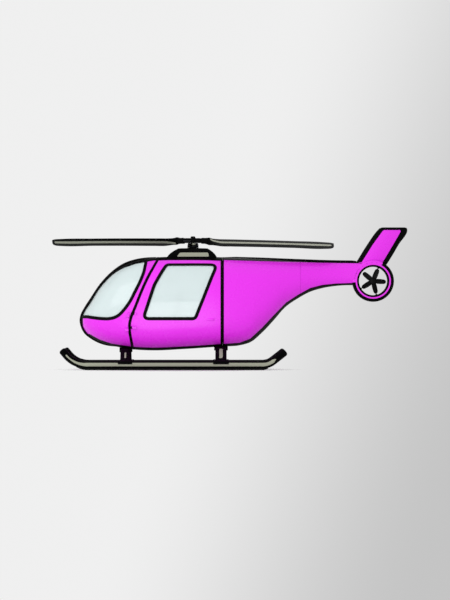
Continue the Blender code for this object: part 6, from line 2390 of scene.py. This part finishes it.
class HELICOPTER_OT_stage(bpy.types.Operator):
    """Sets the floor, the lights and the camera"""

    bl_idname = "helicopter.stage"
    bl_label = "Studio Stage"

    def execute(self, context):
        scene = context.scene
        settings = scene.helicopter_stage
        scene.view_settings.view_transform = "Standard"
        self.world(scene, settings)
        self.floor()
        for name, place, size, energy in LIGHTS:
            light = bpy.data.lights.new(name, "AREA")
            light.energy, light.size = energy, size
            placed(name, light, place, (LIT_POINT - Vector(place)).to_track_quat("-Z", "Y").to_euler())
        camera = bpy.data.cameras.new("picture_camera")
        camera.sensor_width = 36.0
        camera.lens = camera.sensor_width * settings.camera_distance / settings.view_height
        camera.clip_end = 500.0
        at = (CAMERA_X, -settings.camera_distance, CAMERA_Z)
        scene.camera = placed("picture_camera", camera, at, (radians(90), 0, 0))
        return {"FINISHED"}

    def world(self, scene, settings):
        """A plain studio that is a little darker towards the tail."""
        world = bpy.data.worlds.new("studio")
        world.use_nodes = True
        scene.world = world
        tree = world.node_tree
        ray = add(tree, "ShaderNodeTexCoord").outputs["Generated"]
        parts = add(tree, "ShaderNodeSeparateXYZ", {"Vector": ray})
        fall = add(
            tree, "ShaderNodeMath", {0: parts.outputs["Z"], 1: -0.35, 2: parts.outputs["X"]},
            operation="MULTIPLY_ADD",
        )
        # The picture's own width, so the change lies behind the aircraft at any camera distance
        low, high = (reach / settings.camera_distance for reach in (-0.8, 6.4))
        share = add(
            tree, "ShaderNodeMapRange", {"Value": fall, "From Min": low, "From Max": high},
            interpolation_type="SMOOTHSTEP",
        )
        sides = {"Factor": share, "A": linear(settings.light_side), "B": linear(settings.dark_side)}
        feed(tree, tree.nodes["Background"], {"Color": add(tree, "ShaderNodeMix", sides, data_type="RGBA")})

    def floor(self):
        """A pale disc under the aircraft that fades into the studio."""
        bm = bmesh.new()
        bmesh.ops.create_circle(bm, cap_ends=True, segments=96, radius=FLOOR_RADIUS)
        made = linked("studio_floor", mesh_of(bm, "studio_floor"))
        paper, tree, shader, place = new_material(
            "studio_paper", {"Base Color": linear("#D2D2D2"), "Roughness": 0.9, "Specular IOR Level": 0.1}
        )
        middle = add(tree, "ShaderNodeVectorMath", {0: place, 1: (FLOOR_FADE_X, 0, 0)}, operation="ADD")
        reach = add(tree, "ShaderNodeVectorMath", {0: middle}, operation="LENGTH")
        fade = {"Value": reach, "From Min": 1.5, "From Max": 2.8, "To Min": 1.0, "To Max": 0.0}
        share = add(tree, "ShaderNodeMapRange", fade, interpolation_type="SMOOTHSTEP")
        feed(tree, shader, {"Alpha": share})
        made.data.materials.append(paper)


CAD_FINISHES = {
    "magenta_paint": "magenta", "grey_enamel": "grey", "black_enamel": "black", "black_rubber": "rubber",
    "tinted_acrylic": "acrylic", "dark_steel": "steel", "cabin_trim": "trim", "seat_fabric": "trim",
}


class HELICOPTER_OT_frame_finish(bpy.types.Operator):
    """Gives the frame's own nodes that stay their real finish"""

    bl_idname = "helicopter.frame_finish"
    bl_label = "Finish of the Frame's Nodes"

    def execute(self, context):
        slots = {row["node"]: row["material_slot"] for row in frame["record"]["subparts"]}
        for name, node in frame["nodes"].items():
            if not node.hide_render:
                word = "carpet" if name == "cabin_floor" else CAD_FINISHES[slots[name]]
                for place in node.material_slots:
                    place.material = finish_of(word)
        return {"FINISHED"}


OPERATORS = (
    HELICOPTER_OT_stage, HELICOPTER_OT_cabin, HELICOPTER_OT_rear, HELICOPTER_OT_glazing, HELICOPTER_OT_seals,
    HELICOPTER_OT_ridge, HELICOPTER_OT_tail, HELICOPTER_OT_cowling, HELICOPTER_OT_rotor, HELICOPTER_OT_skids,
    HELICOPTER_OT_tail_fan, HELICOPTER_OT_hinges, HELICOPTER_OT_landing_lamp, HELICOPTER_OT_engine_bay,
    HELICOPTER_OT_seats, HELICOPTER_OT_cockpit, HELICOPTER_OT_fasteners, HELICOPTER_OT_frame_finish,
)
GROUPS = {
    "helicopter_paint": HelicopterPaint, "helicopter_form": HelicopterForm,
    "helicopter_stage": HelicopterStage,
}


class HELICOPTER_PT_panel(bpy.types.Panel):
    """Lists the aircraft's colours and its building steps"""

    bl_idname = "HELICOPTER_PT_panel"
    bl_label = "Light Helicopter"
    bl_space_type = "VIEW_3D"
    bl_region_type = "UI"
    bl_category = "Helicopter"

    def draw(self, context):
        for group in GROUPS:
            settings = getattr(context.scene, group)
            for name in settings.bl_rna.properties.keys():
                if name not in ("rna_type", "name"):
                    self.layout.prop(settings, name)
        for operator in OPERATORS:
            self.layout.operator(operator.bl_idname)


CLASSES = (*GROUPS.values(), *OPERATORS, HELICOPTER_PT_panel)


def register():
    for kind in CLASSES:
        bpy.utils.register_class(kind)
    for name, kind in GROUPS.items():
        setattr(bpy.types.Scene, name, PointerProperty(type=kind))


def unregister():
    for name in GROUPS:
        delattr(bpy.types.Scene, name)
    for kind in reversed(CLASSES):
        bpy.utils.unregister_class(kind)


def main():
    register()
    for operator in OPERATORS:
        group, name = operator.bl_idname.split(".")
        getattr(getattr(bpy.ops, group), name)()


if __name__ == "__main__":
    main()
